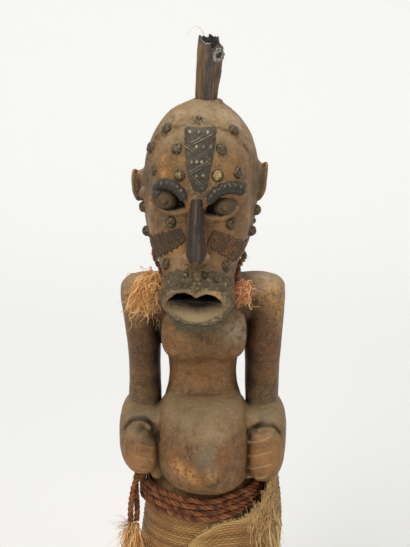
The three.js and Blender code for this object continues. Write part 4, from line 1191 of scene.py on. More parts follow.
# Places as [x, y, z, radius, strength] in drawn millimetres, above the base's top
SPOTS = {
    "ochre": [
        [-37, -50, 527, 4.5, 1], [-38, -54, 514, 4.5, 1], [-51, -34, 481, 7, 1], [-51, -31, 458, 8, 1],
        [-24, -88, 229, 9, 1], [-11, -93, 223, 9, 0.9], [8, -97, 225, 8, 0.9], [66, -23, 392, 10, 1],
        [73, -19, 393, 7, 1], [80, -12, 379, 8, 1], [77, -16, 368, 9, 1], [75, -12, 352, 7, 0.8],
        [-77, -18, 387, 7, 0.8], [13, -99, 409, 5, 1], [-22, -10, 568, 4, 0.4], [-48, -40, 540, 8, 0.5],
        [47, -36, 470, 6, 0.7], [83, -20, 246, 8, 0.8], [82, -4, 236, 8, 0.7], [-82, -10, 262, 8, 0.5],
        [0, 84, 20, 12, 0.7], [54, 60, 20, 10, 0.6], [-20, 79, 500, 14, 0.6], [28, 62, 372, 9, 0.6],
        [-40, 50, 190, 12, 0.6], [-60, 34, 300, 9, 0.6], [36, -66, 14, 8, 0.7], [-43, -66, 14, 8, 0.7],
        # The two broad spots on the shoulder tops are a painted highlight where light falls from above.
        [-64, -8, 400, 22, 0.45], [62, -6, 402, 20, 0.35], [84, -6, 386, 10, 1], [70, -24, 382, 7, 0.8],
    ],
    "warm": [
        [-32, -72, 446, 22, 1], [24, -72, 446, 22, 0.7], [-36, -66, 472, 15, 0.5], [32, -64, 472, 16, 0.6],
        [-32, -60, 520, 24, 0.4], [34, -56, 512, 26, 0.7], [-52, -20, 450, 20, 0.4],
        [0, -36, 312, 34, 0.5], [66, -52, 226, 20, 0.9], [-64, -54, 222, 20, 0.8], [0, -44, 300, 24, 0.4],
        [0, 50, 470, 40, 0.4], [-20, 44, 330, 40, 0.4],
    ],
    "grime": [
        [-30, -92, 400, 14, 0.9], [-24, -98, 382, 12, 0.9], [-10, -106, 374, 10, 0.8],
        [14, -106, 374, 10, 0.8], [28, -98, 384, 13, 0.9], [34, -90, 404, 13, 0.8],
        [-26, -94, 416, 12, 0.6], [30, -92, 418, 11, 0.6], [-50, -24, 500, 13, 0.6],
        [-48, -36, 468, 10, 0.5], [50, -20, 500, 14, 0.5], [-15, -74, 470, 8, 0.6], [8, -74, 468, 8, 0.6],
        [-20, -58, 545, 9, 0.4], [20, -58, 540, 9, 0.4], [-34, -58, 532, 8, 0.4],
        [-70, -22, 330, 28, 0.75], [72, -18, 334, 28, 0.35], [-72, -30, 290, 24, 0.6],
        [74, -28, 292, 24, 0.25], [-40, -60, 470, 12, 0.5], [36, -60, 474, 12, 0.5],
        [0, -50, 330, 18, 0.4], [-30, 50, 440, 30, 0.5], [40, 40, 480, 24, 0.5], [-50, 10, 220, 22, 0.5],
        [50, 10, 220, 22, 0.5], [0, 60, 250, 30, 0.4], [-34, 10, 60, 20, 0.5], [34, 6, 50, 20, 0.5],
        [-1, -74, 500, 9, 0.9], [-12, -72, 498, 5, 0.7], [10, -72, 498, 5, 0.7],
    ],
    "crust": [
        [-22, -94, 419, 10, 0.9], [-8, -99, 422, 9, 0.9], [4, -100, 424, 8, 0.8], [16, -98, 420, 9, 0.9],
        [27, -93, 416, 9, 0.9], [-27, -95, 392, 10, 0.7], [-16, -104, 377, 9, 0.8],
        [0, -108, 372, 10, 0.8], [13, -96, 424, 4, 0.5], [16, -106, 377, 9, 0.8], [28, -96, 392, 9, 0.7],
        [-6, -34, 560, 12, 0.9], [-34, -62, 487, 5, 0.6], [26, -62, 487, 5, 0.6], [12, 8, 576, 9, 0.8],
        [-1, -74, 503, 9, 0.9], [-10, -70, 503, 6, 0.8], [9, -70, 503, 6, 0.8], [-26, -70, 510, 5, 0.6],
        [40, -50, 512, 7, 0.7], [-40, -50, 506, 6, 0.6], [-4, -30, 572, 8, 0.7], [4, -20, 578, 8, 0.7],
        [20, -50, 548, 6, 0.7], [-28, -46, 548, 6, 0.7],
    ],
    # Mostly a painted highlight: sheen along the skull's rim and on the shoulder tops and breast, with some
    # pale patches.
    "pale": [
        [36, -14, 560, 12, 0.8], [46, -12, 542, 11, 0.6], [24, -16, 571, 12, 0.8], [0, -20, 577, 16, 0.6],
        [-24, -18, 569, 12, 0.5], [-38, -40, 552, 8, 0.5], [28, -42, 556, 8, 0.5], [-16, -50, 562, 8, 0.5],
        [-62, -6, 408, 12, 0.5], [62, -10, 402, 17, 0.75], [34, -52, 357, 13, 0.8],
        [16, -96, 268, 14, 0.4], [-30, -78, 432, 6, 0.4], [30, -78, 432, 6, 0.4],
    ],
    "red": [
        [22, -90, 239, 17, 0.9], [-24, -87, 236, 16, 1], [-4, -93, 227, 16, 1], [56, -56, 228, 24, 0.6],
        [-66, -54, 228, 22, 0.55], [-5, -70, 490, 10, 0.6], [-34, -58, 500, 26, 0.5],
        [30, -58, 500, 26, 0.5], [13, -99, 409, 9, 1], [0, -50, 300, 40, 0.7], [-68, -20, 330, 36, 0.8],
        [68, -20, 330, 36, 0.7], [-34, -49, 338, 9, 1], [32, -49, 338, 9, 0.9], [18, 3, 577, 12, 0.8],
        [0, -40, 560, 30, 0.4], [34, -12, 556, 20, 0.6], [47, -14, 528, 18, 0.5], [-46, -10, 534, 18, 0.5],
        [0, 60, 520, 50, 0.5], [0, 40, 320, 50, 0.6], [0, 50, 210, 40, 0.5], [34, 0, 90, 50, 0.4],
        [-34, 0, 90, 50, 0.4],
    ],
    "grey": [
        [-66, -30, 268, 22, 0.9], [68, -30, 268, 22, 0.9], [0, -60, 276, 30, 0.8], [2, -97, 246, 11, 1],
        [6, -97, 232, 9, 1], [-64, 0, 396, 26, 0.9], [64, 0, 398, 26, 0.8], [0, -88, 400, 24, 0.8],
        [-66, -4, 489, 18, 0.7], [58, -4, 497, 18, 0.7], [0, -60, 380, 30, 0.5], [24, -50, 360, 20, 0.5],
        [4, -96, 380, 30, 1], [20, 30, 570, 30, 0.4],
    ],
    # Painted shade: between the arms and body, on the fists' tops, under the chin, under the nose and beside
    # the mouth.
    "soot": [
        [-46, -8, 345, 20, 0.8], [-47, -6, 318, 18, 0.9], [-46, -4, 294, 16, 0.9], [46, -8, 352, 20, 0.8],
        [45, -6, 322, 18, 0.9], [45, -4, 296, 16, 0.9], [-52, -50, 249, 9, 0.85], [-62, -48, 256, 7, 0.7],
        [0, -76, 372, 18, 0.6], [-8, -100, 431, 4, 0.6], [2, -95, 434, 6, 0.7], [-36, -84, 398, 12, 0.5],
        [36, -84, 398, 12, 0.5],
    ],
}


def field_mesh(wood):
    """Points in metres, triangles and four-sided faces on the surface of the wood."""
    grid = openvdb.FloatGrid(FAR)
    grid.copyFromArray(wood.field)
    points, triangles, quads = grid.convertToPolygons(0.0, 0.0)
    points = (points.astype(float) * GRID_STEP + wood.low) * DRAWN
    return points, [part for part in (triangles, quads) if len(part)]


def thin_out(mesh, most):
    """The same mesh with no more than most triangles, coarser where it is plainest."""
    mesh.calc_loop_triangles()
    carrier = added("carrier", mesh)
    carrier.modifiers.new("thin", "DECIMATE").ratio = min(1, most / len(mesh.loop_triangles))
    thinned = bpy.data.meshes.new_from_object(carrier.evaluated_get(bpy.context.evaluated_depsgraph_get()))
    bpy.data.objects.remove(carrier)
    return thinned


def read_points(mesh, what="co"):
    numbers = np.empty(3 * len(mesh.vertices), np.float32)
    mesh.vertices.foreach_get(what, numbers)
    return numbers.reshape(-1, 3).astype(float)


def spots_at(points, spots):
    """How much each point is inside the strongest of some round spots."""
    value = np.zeros(len(points))
    for x, y, z, radius, strength in spots:
        away = np.linalg.norm(points - [x, y, z + BASE_TOP], axis=1)
        value = np.maximum(value, strength * hill(away, radius))
    return value


def mouth_depth(x, y, z):
    """How much painted shade the open mouth has: black far in and under its roof, and bare on the lower lip.
    """
    inside = MOUTH_DISTANCE(x, z) < 1.5
    depth = y + lip_front(z)
    bare = -20.5 + 0.0135 * (x - MOUTH_MIDDLE) ** 2
    dark = np.maximum(between(depth, 9, 16), between(z - bare, 0, 9) * between(depth, 0.6, 2.5))
    return 0.94 * dark * (inside & (y < -55) & (np.abs(x - 4) < 40) & (z > -30) & (z < 4))


def mouth_edges(x, y, z):
    """How much each place is on the worn lower lip, which is also painted lighter as a highlight, and how
    much on the crust round the mouth.
    """
    away = MOUTH_DISTANCE(x, z)
    near = (y < -72) & (np.abs(x - 3) < 46) & (z > -46) & (z < 22)
    lower = between(-z, 11, 20) * hill(x - 3, 24)
    lip = lower * between(-away, -2.2, -0.6) * between(-y - lip_front(z), -12, -4)
    crust = between(away, 1.8, 4.2) * between(-away, -20, -11)
    aside = x - MOUTH_MIDDLE
    beard = between(0.016 * aside ** 2 - 23.8 - z, 0, 2.2) * between(-np.abs(aside), -32, -26)
    beard = beard * between(-away, -14, -8)
    return lip * (1 - beard) * near, np.maximum(crust, beard) * near


def eye_places(x, y, z):
    """How much each place is on an eyeball, and how much painted shade it has in the socket round one."""
    balls, sockets = np.zeros(len(x)), np.zeros(len(x))
    for name, side in SIDES.items():
        away = np.linalg.norm((joined(x, y, z) - eye_middle(name, side)) / [12.6, 15.7, 10.1], axis=1)
        ball = between(-away, -1.1, -1.03) * (y < -50)
        opening = between(-outline_distance(almond(name), 14)(x, z), -1, 1) * (y < -40)
        shaded = np.maximum(between(z - EYES[name]["z"], -7, 0), between(side * (EYES[name]["x"] - x), 2, 9))
        balls = np.maximum(balls, ball)
        sockets = np.maximum(sockets, shaded * opening * (1 - ball) * between(y + face_front(x), 2, 6))
    return balls, sockets


def wood_values(wood, mesh):
    """What the wood's material reads at each point of the mesh, as shares by name."""
    points = read_points(mesh) / DRAWN
    normals = read_points(mesh, "normal")
    inside = np.clip(0.5 - wood.field / GRID_STEP, 0, 1).astype(np.float32)
    coarse = 3
    fine = wood.sample(wood.blurred(inside, 2.4), points)
    wide = wood.sample(wood.blurred(inside, 11, coarse), points, coarse)
    # Painted shade: the wide blur of the solid is high in hollows such as between the arms and body, under
    # the chin and inside the mouth.
    hollow = between(wide, 0.56, 0.86)
    values = {
        # Painted shade and dirt in small creases.
        "crease": between(fine, 0.545, 0.7),
        "edge": between(-fine, -0.46, -0.34),
        "hollow": hollow,
        "dust": between(normals[:, 2], 0.15, 0.85) * (1 - hollow),
        **{kind: spots_at(points, spots) for kind, spots in SPOTS.items()},
    }
    lines = [line for name in SIDES for line in finger_lines(wood, name)]
    above = points - [0, 0, BASE_TOP]
    values["line"] = np.max([hill(line_distance(above, line), 0.9) for line in lines], 0)
    values["line"] *= np.where(points[:, 0] < 0, 0.35, 1)
    # Painted shade in the grooves over the wrists.
    wrists = [hill(line_distance(above, line), 3.4) for line in WRISTS.values()]
    values["soot"] = np.maximum(values["soot"], 0.85 * np.max(wrists, 0))
    values["crease"] *= 1 - values["line"]
    in_face = to_head(*points.astype(np.float32).T)
    values["eye"], sockets = eye_places(*in_face)
    values["lip"], round_mouth = mouth_edges(*in_face)
    # Painted shade deep in the mouth and in the eye sockets.
    values["soot"] = np.max([values["soot"], mouth_depth(*in_face), sockets], 0)
    hairline = head_to_world(smooth_line(HAIRLINE, 30)) / DRAWN
    crusts = [values["crust"], 0.9 * hill(line_distance(points, hairline), 2.6), 0.85 * round_mouth]
    for node in numbered(TACKS):
        low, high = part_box(node)
        away = np.linalg.norm(points - np.array((low + high) / 2) / DRAWN, axis=1)
        crusts.append(0.75 * hill(away, 8))
    values["crust"] = np.max(crusts, 0)
    return values


def carve_wood(material):
    wood = Carving()
    carve_body(wood)
    carve_base(wood)
    carve_head(wood)
    weather(wood)
    mesh = thin_out(mesh_of("rough_wood", *field_mesh(wood)), MOST_TRIANGLES)
    mesh.calc_loop_triangles()
    corners = np.empty(3 * len(mesh.loop_triangles), np.int32)
    mesh.loop_triangles.foreach_get("vertices", corners)
    skin = read_points(mesh), [corners.reshape(-1, 3)], wood_values(wood, mesh)
    return new_piece("carved_wood", skin, material, "figure")


# Head's own frame, and places on the wood

TURN = np.array(HEAD_TURN)
PIVOT = np.array(HEAD_PIVOT)


def head_to_world(points):
    """Drawn millimetres in the head's own frame to metres."""
    return (np.asarray(points) @ TURN.T + PIVOT) * DRAWN


def wood_tree(piece):
    mesh = piece.data
    return BVHTree.FromPolygons([v.co for v in mesh.vertices], [p.vertices for p in mesh.polygons])


def drape(x, z):
    """A grid of points on the wood, seen from the front of the head at x and z, and its normals."""
    ahead = Vector(TURN[:, 1])
    starts = head_to_world(joined(x, np.full_like(x, -140.0), z))
    depth = np.full(x.shape, np.nan)
    for place in np.ndindex(x.shape):
        hit, _, _, distance = WOOD_TREE.ray_cast(Vector(starts[place]), ahead)
        if hit is not None:
            depth[place] = distance / DRAWN - 140
    depth = np.where(np.isnan(depth), np.nanmax(depth), depth)
    for smoothing in range(3):
        padded = np.pad(depth, 1, mode="edge")
        depth = (padded[:-2, 1:-1] + padded[2:, 1:-1] + padded[1:-1, :-2] + padded[1:-1, 2:] + 2 * depth) / 6
    points = head_to_world(joined(x, depth, z))
    along, across = (np.gradient(points, axis=k) for k in (0, 1))
    normals = unit(np.cross(along, across))
    outward = -np.sign((normals @ TURN[:, 1]).mean())
    return points, normals * outward


def seat_of(node):
    """The nearest place on the wood to a CAD node's middle, and the wood's way out there."""
    low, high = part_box(node)
    spot, normal, _, _ = WOOD_TREE.find_nearest((low + high) / 2)
    for step in ((1, 0, 0), (-1, 0, 0), (0, 1, 0), (0, -1, 0), (0, 0, 1), (0, 0, -1)):
        normal = normal + WOOD_TREE.find_nearest(spot + Vector(step) * 4 * MM)[1]
    return np.array(spot), unit(np.array(normal))


# Sheet metal, bent over the face

METAL = 0.9
METAL_LIFT = 0.35
METAL_STEP = 0.5

# Middle lines on the face as [x, z, half width]
FOREHEAD = [
    [-2.5, 148, 15], [-2, 137, 14.2], [-1.8, 124, 12.6], [-1.2, 108, 10], [-0.2, 99, 7.8], [0.3, 92, 5.4],
]
ZIGZAG = [[10.8, 145.3], [-14, 131.9], [9.2, 119.4], [-10.7, 107.3], [3.8, 95.3]]
BOSSES = [  # left, level, count, pitch
    [-11.6, 144, 3, 8.0], [-4.9, 131.6, 3, 6.6], [-8.7, 118.1, 3, 4.9], [-2.8, 106.2, 2, 6.0],
]
NOSE = [[-2, 84, 4.8], [-0.8, 68, 6.6], [0, 50, 7.8], [1, 36, 9.2], [1, 29.5, 9.6]]
BROWS = {
    "right": [[-43.5, 82.5, 3.2], [-38.5, 91, 4.8], [-30, 95, 5.4], [-20, 92, 5.2], [-13.5, 84, 3.8]],
    "left": [[42.5, 91.5, 5.2], [36.5, 94.5, 5.8], [26.5, 95.5, 5.6], [16, 91, 5.2], [9.5, 82.5, 3.8]],
}
CHEEKS = {
    "right": [[-43, 29, 9], [-34, 36, 9.2], [-25, 42, 8.8], [-12.5, 49.5, 6.4]],
    "left": [[43, 30, 9.4], [34, 36.5, 9.4], [25, 42, 9], [12.5, 48, 8]],
}
LIPS = {
    "right": [[-27.5, 1.5, 3.6], [-21.5, 7, 5.6], [-12, 10.5, 6.8], [-1, 10.5, 6]],
    "left": [[33, 2.5, 3.6], [27, 7, 5.6], [18, 10.5, 6.8], [7, 10.5, 6]],
}
CHIN = [[-20, -30, 4.2], [-8, -34.8, 6], [4, -36, 6.4], [16, -34.8, 6], [27, -30, 4.2]]


def forehead_relief(x, z, u, w, half):
    """Two scratched lines run zigzag down the strip, with rows of bosses between them."""
    place = joined(x, z)
    away = line_distance(place, ZIGZAG)
    worn = 0.85 + 0.25 * lumps(place, 8, 12)
    height = 0.85 * worn * hill(np.abs(away - 1.1), 0.5) - 0.3 * hill(away, 0.5)
    for left, level, count, pitch in BOSSES:
        for k in range(count):
            boss = np.hypot(x - left - k * pitch, z - level - 0.3 * k)
            height = np.maximum(height, 1.2 * worn * np.clip(1 - (boss / 2.1) ** 2, 0, 1))
    return height + 0.12 * lumps(place, 9, 5)


def nose_relief(x, z, u, w, half):
    """Shallow folds run down the nose, and the lower edge is turned out."""
    folds = 0.3 * np.cos(w / half * 4 + 0.4 * np.sin(u / 9)) + 0.14 * np.cos(w / half * 11 + u / 14)
    turned = 0.9 * np.clip((u - u.max() + 3) / 3, 0, 1) ** 2
    return folds + turned


def brow_relief(x, z, u, w, half):
    """Upright strokes cut into the band, with beads along its upper edge."""
    strokes = 0.35 * hill(np.mod(u, 3.4) - 1.7, 0.5) * between(-w / half, -0.6, 0.1)
    bead = np.hypot(np.mod(u, 4.4) - 2.2, w - 0.3 * half)
    worn = 0.8 + 0.35 * lumps(joined(x, z), 6, 11)
    return strokes - 0.35 * hill(np.mod(u, 3.4), 0.6) + worn * np.clip(1 - (bead / 1.35) ** 2, 0, 1)


def cheek_relief(x, z, u, w, half):
    """Flutes across the band, deepest at its outer end, and a ridge along each edge."""
    share = u / u.max()
    flutes = 0.55 * np.cos(2 * np.pi * u / 2.7 + 0.5 * np.sin(w)) * (1 - 0.75 * share)
    return flutes + 0.4 * hill(np.abs(w) - half + 1.1, 0.6)


def rough_relief(x, z, u, w, half):
    place = joined(x, z)
    return 0.4 * lumps(place, 4.5, 8) + 0.4 * lumps(place, 2.0, 9) - 0.5 * hill(np.abs(w) - half, 1.6)


def chin_relief(x, z, u, w, half):
    ridges = 0.45 * np.cos(2 * np.pi * w / 3.2 + 0.35 * u)
    return ridges + 0.3 * lumps(joined(x, z), 3, 10)


def lay_band(name, node, rows, relief, material, seed=1, rubbed=1.0, crown=0.0, ragged=0.35, tongue=0.0):
    """A strip of sheet metal that follows the wood, with its pattern raised from behind.

    Its middle stands crown higher than its edges, and its far end is rounded over a length of tongue.
    """
    length = line_lengths(np.array(rows) * [1, 1, 0])[-1]
    line = smooth_line(rows, int(length / METAL_STEP))
    run = unit(np.gradient(line[:, :2], axis=0))
    along = line_lengths(line * [1, 1, 0])
    columns = int(2 * line[:, 2].max() / METAL_STEP)
    t = np.linspace(-1, 1, columns)
    wobble = ragged * (lumps(along[..., None], 6, seed) + 0.5 * lumps(along[..., None], 2.4, seed + 30))
    half = line[:, 2] + wobble - 1.6 * np.clip(1 - np.minimum(along, along[-1] - along) / 1.6, 0, 1) ** 2
    if tongue:
        half *= np.sqrt(1.03 - np.clip(1 - (along[-1] - along) / tongue, 0, 1) ** 2)
    w = half[:, None] * t
    x = line[:, 0, None] - run[:, 1, None] * w
    z = line[:, 1, None] + run[:, 0, None] * w
    upper = w * np.sign(run[:, 0].mean()) if abs(run[:, 0].mean()) > 0.5 else w
    height = relief(x, z, np.broadcast_to(along[:, None], w.shape), upper, half[:, None])
    height = height - 0.5 * np.abs(t) ** 14
    low, normals = drape(x, z)
    top = low + normals * ((METAL_LIFT + METAL + height + crown * (1 - t * t)) * MM)[..., None]
    under = low + normals * METAL_LIFT * 0.5 * MM
    points, faces = shell(top, under)
    raised = np.concatenate([height.ravel(), np.zeros(height.size)])
    raised = rubbed * between(raised, np.percentile(height, 30), np.percentile(height, 97) + 0.05)
    new_piece(name, (points, faces, {"raised": raised}), material, node)


def lay_metal():
    iron, black, brown, crusty, copper, rusty = (metal_material(name) for name in METALS)
    cheek_metal = {"right": copper, "left": rusty}
    lay_band("forehead_strip_sheet", "forehead_strip", FOREHEAD, forehead_relief, iron, 1)
    lay_band("nose_strip_sheet", "nose_strip", NOSE, nose_relief, brown, 2, 0.8, crown=2.0, tongue=8)
    for seed, name in enumerate(SIDES, 3):
        lay_band(name + "_brow_sheet", name + "_brow_strip", BROWS[name], brow_relief, black, seed, 0.75,
                 crown=1.5)
        lay_band(name + "_cheek_sheet", name + "_cheek_band", CHEEKS[name], cheek_relief, cheek_metal[name],
                 seed + 2, 0.85, ragged=0.7)
        lay_band(name + "_lip_sheet", name + "_lip_plate", LIPS[name], rough_relief, crusty, seed + 4, 0.8,
                 ragged=1.1)
    lay_band("chin_sheet", "chin_plate", CHIN, chin_relief, crusty, 9, 0.6, ragged=0.8)


# Domed tacks and small nails

TACK_RADIUS = 5.8
NAIL_RADIUS = 2.9
TACKS = {
    "forehead_tack": 6, "cheek_tack": 2, "mouth_tack": 2, "temple_tack": 0, "hairline_tack": 2,
    "side_tack": 4,
}
NAILS = {"side_nail": 2, "crown_nail": 0, "lip_nail": 3}
# How bright some tacks' crowns are painted: rubbed brass and a painted highlight.
RUBBED_AND_LIT = {"forehead_tack_4": 0.9, "forehead_tack_3": 0.6, "forehead_tack_1": 0.45, "forehead_tack_2": 0.45}


def numbered(names):
    for name, count in names.items():
        yield from [f"{name}_{k}" for k in range(1, count + 1)] or [name]


def drive_tack(node, radius, material, seed, lift=0.0, rise_share=0.6):
    """A dome with a thin brim, a few dents, and a slight lean."""
    random = np.random.default_rng(seed)
    spot, normal = seat_of(node)
    normal = unit(normal + random.normal(0, 0.05, 3))
    side = unit(np.cross(normal, [0.3, 0.2, 0.9]))
    other = np.cross(normal, side)
    angle = full_turn(30)
    climb = np.linspace(0.42, np.pi / 2 - 0.06, 12)
    share = np.concatenate([[1.0, 1.0, 0.93], np.cos(climb)])
    rise = np.concatenate([[-0.12, 0.03, 0.1], np.sin(climb) * rise_share])
    wobble = 1 + 0.03 * np.sin(3 * angle + seed) + 0.02 * np.sin(5 * angle + 2 * seed)
    x = share[:, None] * wobble * np.cos(angle)
    y = share[:, None] * wobble * np.sin(angle)
    dents = 0.035 * lumps(joined(x, y, 0 * x), 0.9, seed) * (share[:, None] < 0.92)
    z = np.broadcast_to(rise[:, None], x.shape) + dents
    local = joined(x, y, z) * radius * MM
    points, faces = capped(spot + normal * lift * MM + local @ np.stack([side, other, normal]))
    tone = np.full(len(points), RUBBED_AND_LIT.get(node, random.uniform(0.25, 0.6)))
    # The dome's height, where the crown is painted bright as rubbed brass and a highlight.
    raised = np.broadcast_to((rise / rise.max())[:, None], x.shape)
    values = {"tone": tone, "raised": np.clip(raised, 0, 1)}
    new_piece(node + "_dome", (points, faces, values), material, node)


def drive_tacks():
    brass = tack_material()
    for seed, node in enumerate(numbered(TACKS)):
        drive_tack(node, TACK_RADIUS, brass, 20 + seed, rise_share=0.95 if node.startswith("side") else 0.6)
    for seed, node in enumerate(numbered(NAILS)):
        on_plate = node.startswith("lip")
        drive_tack(node, NAIL_RADIUS, brass, 50 + seed, METAL_LIFT + METAL + 0.6 if on_plate else 0)


# Horn, with a broken rim round a black charge, and a ring of crust on its side

HORN_PLACE = np.array([0, 12, 167.0])
HORN_LENGTH = 62
HORN_FOOT = 10.4
HORN_SEAT = 19
HORN_ROWS = [  # share of its length, width as a share of the foot's, shift to the left
    [0, 1, 0], [0.25, 1.08, 0.3], [0.5, 1.16, 0.9], [0.72, 1.24, 1.8], [0.85, 1.18, 1.6], [1, 1.07, 1],
]
HORN_WALL = 2.4


def near_side(angle, side, width):
    """1 at one side of the horn, falling off round it."""
    return hill(np.angle(np.exp(1j * (angle - side))), width)


def horn_rim(angle):
    """The height of the broken rim: a tall splinter at the figure's right, and a low front."""
    splinter = 2.6 * near_side(angle, np.pi * 1.02, 0.42)
    flake = 3.0 * near_side(angle, -0.35, 0.3)
    low = -3.4 * near_side(angle, -1.75, 0.75)
    return splinter + flake + low + 0.5 * np.sin(7 * angle) + 0.35 * np.sin(17 * angle + 1) - 1.6


def horn_points(share, angle, inset):
    """Points in the head's frame at shares of the horn's length and angles round it."""
    rows = np.array(HORN_ROWS)
    radius = np.interp(share, rows[:, 0], rows[:, 1]) * HORN_FOOT - inset
    shift = np.interp(share, rows[:, 0], rows[:, 2])
    oval = 1 + 0.02 * np.cos(2 * angle + 0.6)
    reach = radius * oval
    return joined(shift + reach * np.cos(angle), reach * np.sin(angle), share * HORN_LENGTH) + HORN_PLACE


def make_horn():
    """The outside is ribbed along its length and flakes near the rim; the wall is thin at the top."""
    angle = full_turn(168)
    share = np.concatenate([[-HORN_SEAT / HORN_LENGTH], np.linspace(-0.06, 1, 60)])[:, None]
    inset = 0.16 * np.cos(23 * angle + 2 * np.sin(3 * angle)) + 0.1 * np.cos(51 * angle)
    grid = joined(8 * np.cos(angle), 8 * np.sin(angle), 14 * share)
    inset = inset + 0.22 * lumps(grid, 5, 31) + 0.5 * np.clip(lumps(grid, 9, 32) - 0.4, 0, 1) * (share > 0.5)
    chipped = 3.4 * near_side(angle, 0, 0.8) * between(share, 0.84, 0.93)
    outer = horn_points(share, angle, inset + chipped)
    inner = horn_points(share, angle, HORN_WALL + chipped + 0.3 * lumps(grid, 6, 33))
    lift = horn_rim(angle) * between(share, 0.86, 1.0)
    outer[..., 2] += lift
    inner[..., 2] += lift - 0.5
    floor = share[:, 0] < 0.7
    inner[floor, :, :2] = HORN_PLACE[:2] + (inner[floor, :, :2] - HORN_PLACE[:2]) * 0.2
    inner[0, :, 2] += 0.6
    points, faces = shell(head_to_world(outer), head_to_world(inner), around=True)
    top = between(share, 0.86, 0.97)
    values = {
        "gold": near_side(angle, -2.5, 0.75) * (1 - top),
        "blue": near_side(angle, -1.6, 0.5) + 0 * share,
        "rim": 0.75 * top + 0 * angle,
        "pale": between(share, 0.955, 1.0) * near_side(angle, -1.9, 0.5),
    }
    values = {key: np.concatenate([value.ravel(), np.full(value.size, float(key == "rim"))])
              for key, value in values.items()}
    new_piece("horn", (points, faces, values), horn_material(), "crown_horn")


def make_charge():
    """Black resin packed into the horn, with curled flakes that stand over the rim."""
    black = lump_material("resin_charge", paint(14, 12, 11), paint(58, 52, 46), 420)
    angle = full_turn(60)
    spread = np.array([0.15, 0.4, 0.62, 0.8, 0.94, 1.0, 1.0, 0.5])[:, None]
    height = np.array([3.2, 3.0, 2.2, 1.0, -0.6, -2.5, -12, -12.6])[:, None]
    flat = joined(spread * np.cos(angle), spread * np.sin(angle), 0 * spread * angle) * 8.2
    bumps = 1.1 * lumps(flat, 5, 41) + 0.5 * lumps(flat, 2.4, 42)
    place = horn_points(np.full_like(spread, 0.93), angle, 0)
    middle = np.array([-0.6, 12, 0]) + [0, 0, place[..., 2].mean()]
    body = flat + middle
    body[..., 2] += height + bumps * (spread < 0.97)
    new_piece("resin_lump", capped(head_to_world(body)), black, "horn_charge")
    for name, row in CHARGE_FLAPS.items():
        make_flap(name, row, black)


# Flakes of the charge: the foot and tip in the head's frame, the half width and how far it curls
CHARGE_FLAPS = {
    "resin_flap_top": ([-5.5, 5.0, 224.5], [6.5, 3.5, 229.8], 4.6, 2.4),
    "resin_flap_front": ([5.6, 2.0, 229.0], [3.8, 0.5, 219.5], 3.2, 1.2),
    "resin_flap_left": ([7.4, 7.0, 213.0], [8.2, 5.5, 227.5], 1.9, 0.8),
}


def make_flap(name, row, material):
    """A curled, ragged flake: a grid from foot to tip that narrows and bends over."""
    foot, tip, half, curl = (np.array(v, float) for v in row)
    along = np.linspace(0, 1, 18)[:, None]
    across = np.linspace(-1, 1, 15)
    run = unit(tip - foot)
    side = unit(np.cross(run, [0.15, -1, 0.1]))
    out = np.cross(side, run)
    taper = 1 - 0.55 * along ** 1.5 + 0.16 * lumps(along[..., None], 0.5, int(half * 7))
    width = half * taper * across
    grid = foot + along[..., None] * (tip - foot) + width[..., None] * side
    bend = curl * (np.sin(np.pi * along) - 0.6 * across ** 2)
    ragged = 0.5 * lumps(grid, 3, int(curl * 10) + 3)
    grid = grid + (bend + ragged)[..., None] * out
    new_piece(name, shell(head_to_world(grid + 0.45 * out), head_to_world(grid - 0.45 * out)), material)


def make_crust():
    """A ring of pale, flaking crust with a dark rim at the figure's left of the horn."""
    low, high = (np.array(v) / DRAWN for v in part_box("horn_ring"))
    middle = ((low + high) / 2 - PIVOT) @ TURN
    out = unit((middle - HORN_PLACE - [1.6, 0, 0]) * [1, 1, 0])
    side = np.cross(UP, out)
    turns, tube = 72, 20
    a, b = full_turn(turns), full_turn(tube)
    ring = 4.3 + 0.5 * np.sin(2 * a + 1) + 0.25 * np.sin(7 * a)
    thick = 1.6 + 0.3 * np.sin(3 * a + 2) + 0.2 * np.sin(11 * a)
    reach = ring[:, None] + thick[:, None] * np.cos(b)
    lift = thick[:, None] * np.sin(b) * 0.9
    grid = middle + (reach * np.cos(a)[:, None])[..., None] * side
    grid = grid + (reach * np.sin(a)[:, None] * 1.3)[..., None] * UP + lift[..., None] * out
    grid = grid + (0.35 * lumps(grid, 2.2, 51) + 0.2 * lumps(grid, 1.1, 52))[..., None] * out
    index = np.arange(turns * tube).reshape(turns, tube)
    ahead = np.roll(index, -1, 0)
    faces = four_sided(index, ahead, np.roll(ahead, -1, 1), np.roll(index, -1, 1))
    crust = lump_material("shell_crust", paint(96, 92, 84), paint(190, 184, 172), 500)
    new_piece("crust_ring", (head_to_world(grid).reshape(-1, 3), [faces]), crust, "horn_ring")
    filling = lump_material("ring_filling", paint(28, 26, 24), paint(104, 100, 92), 480)
    new_piece("crust_filling", ball_of(middle - out * 1.2, [side, UP, out], [4.2, 5.4, 1.6], 53), filling)


def ball_of(centre, axes, radii, seed):
    """A lumpy ball in the head's frame, as points in metres and faces."""
    height = np.cos(np.linspace(0.12, np.pi - 0.12, 18))[:, None]
    angle, across = full_turn(28), np.sqrt(1 - height ** 2)
    local = joined(across * np.cos(angle), across * np.sin(angle), height + 0 * angle)
    local = local * (1 + 0.06 * lumps(local, 0.7, seed))[..., None] * radii
    return capped(head_to_world(centre + local @ np.array(axes)))


# A wisp of pale fibre caught in the horn's rim, in the head's frame
WISP = [
    [-4, 6, 226], [-6, 5, 231], [-8.5, 4, 236.5], [-12, 3, 239], [-16, 2, 238], [-19.5, 1, 234.5],
    [-22, 1, 228],
]


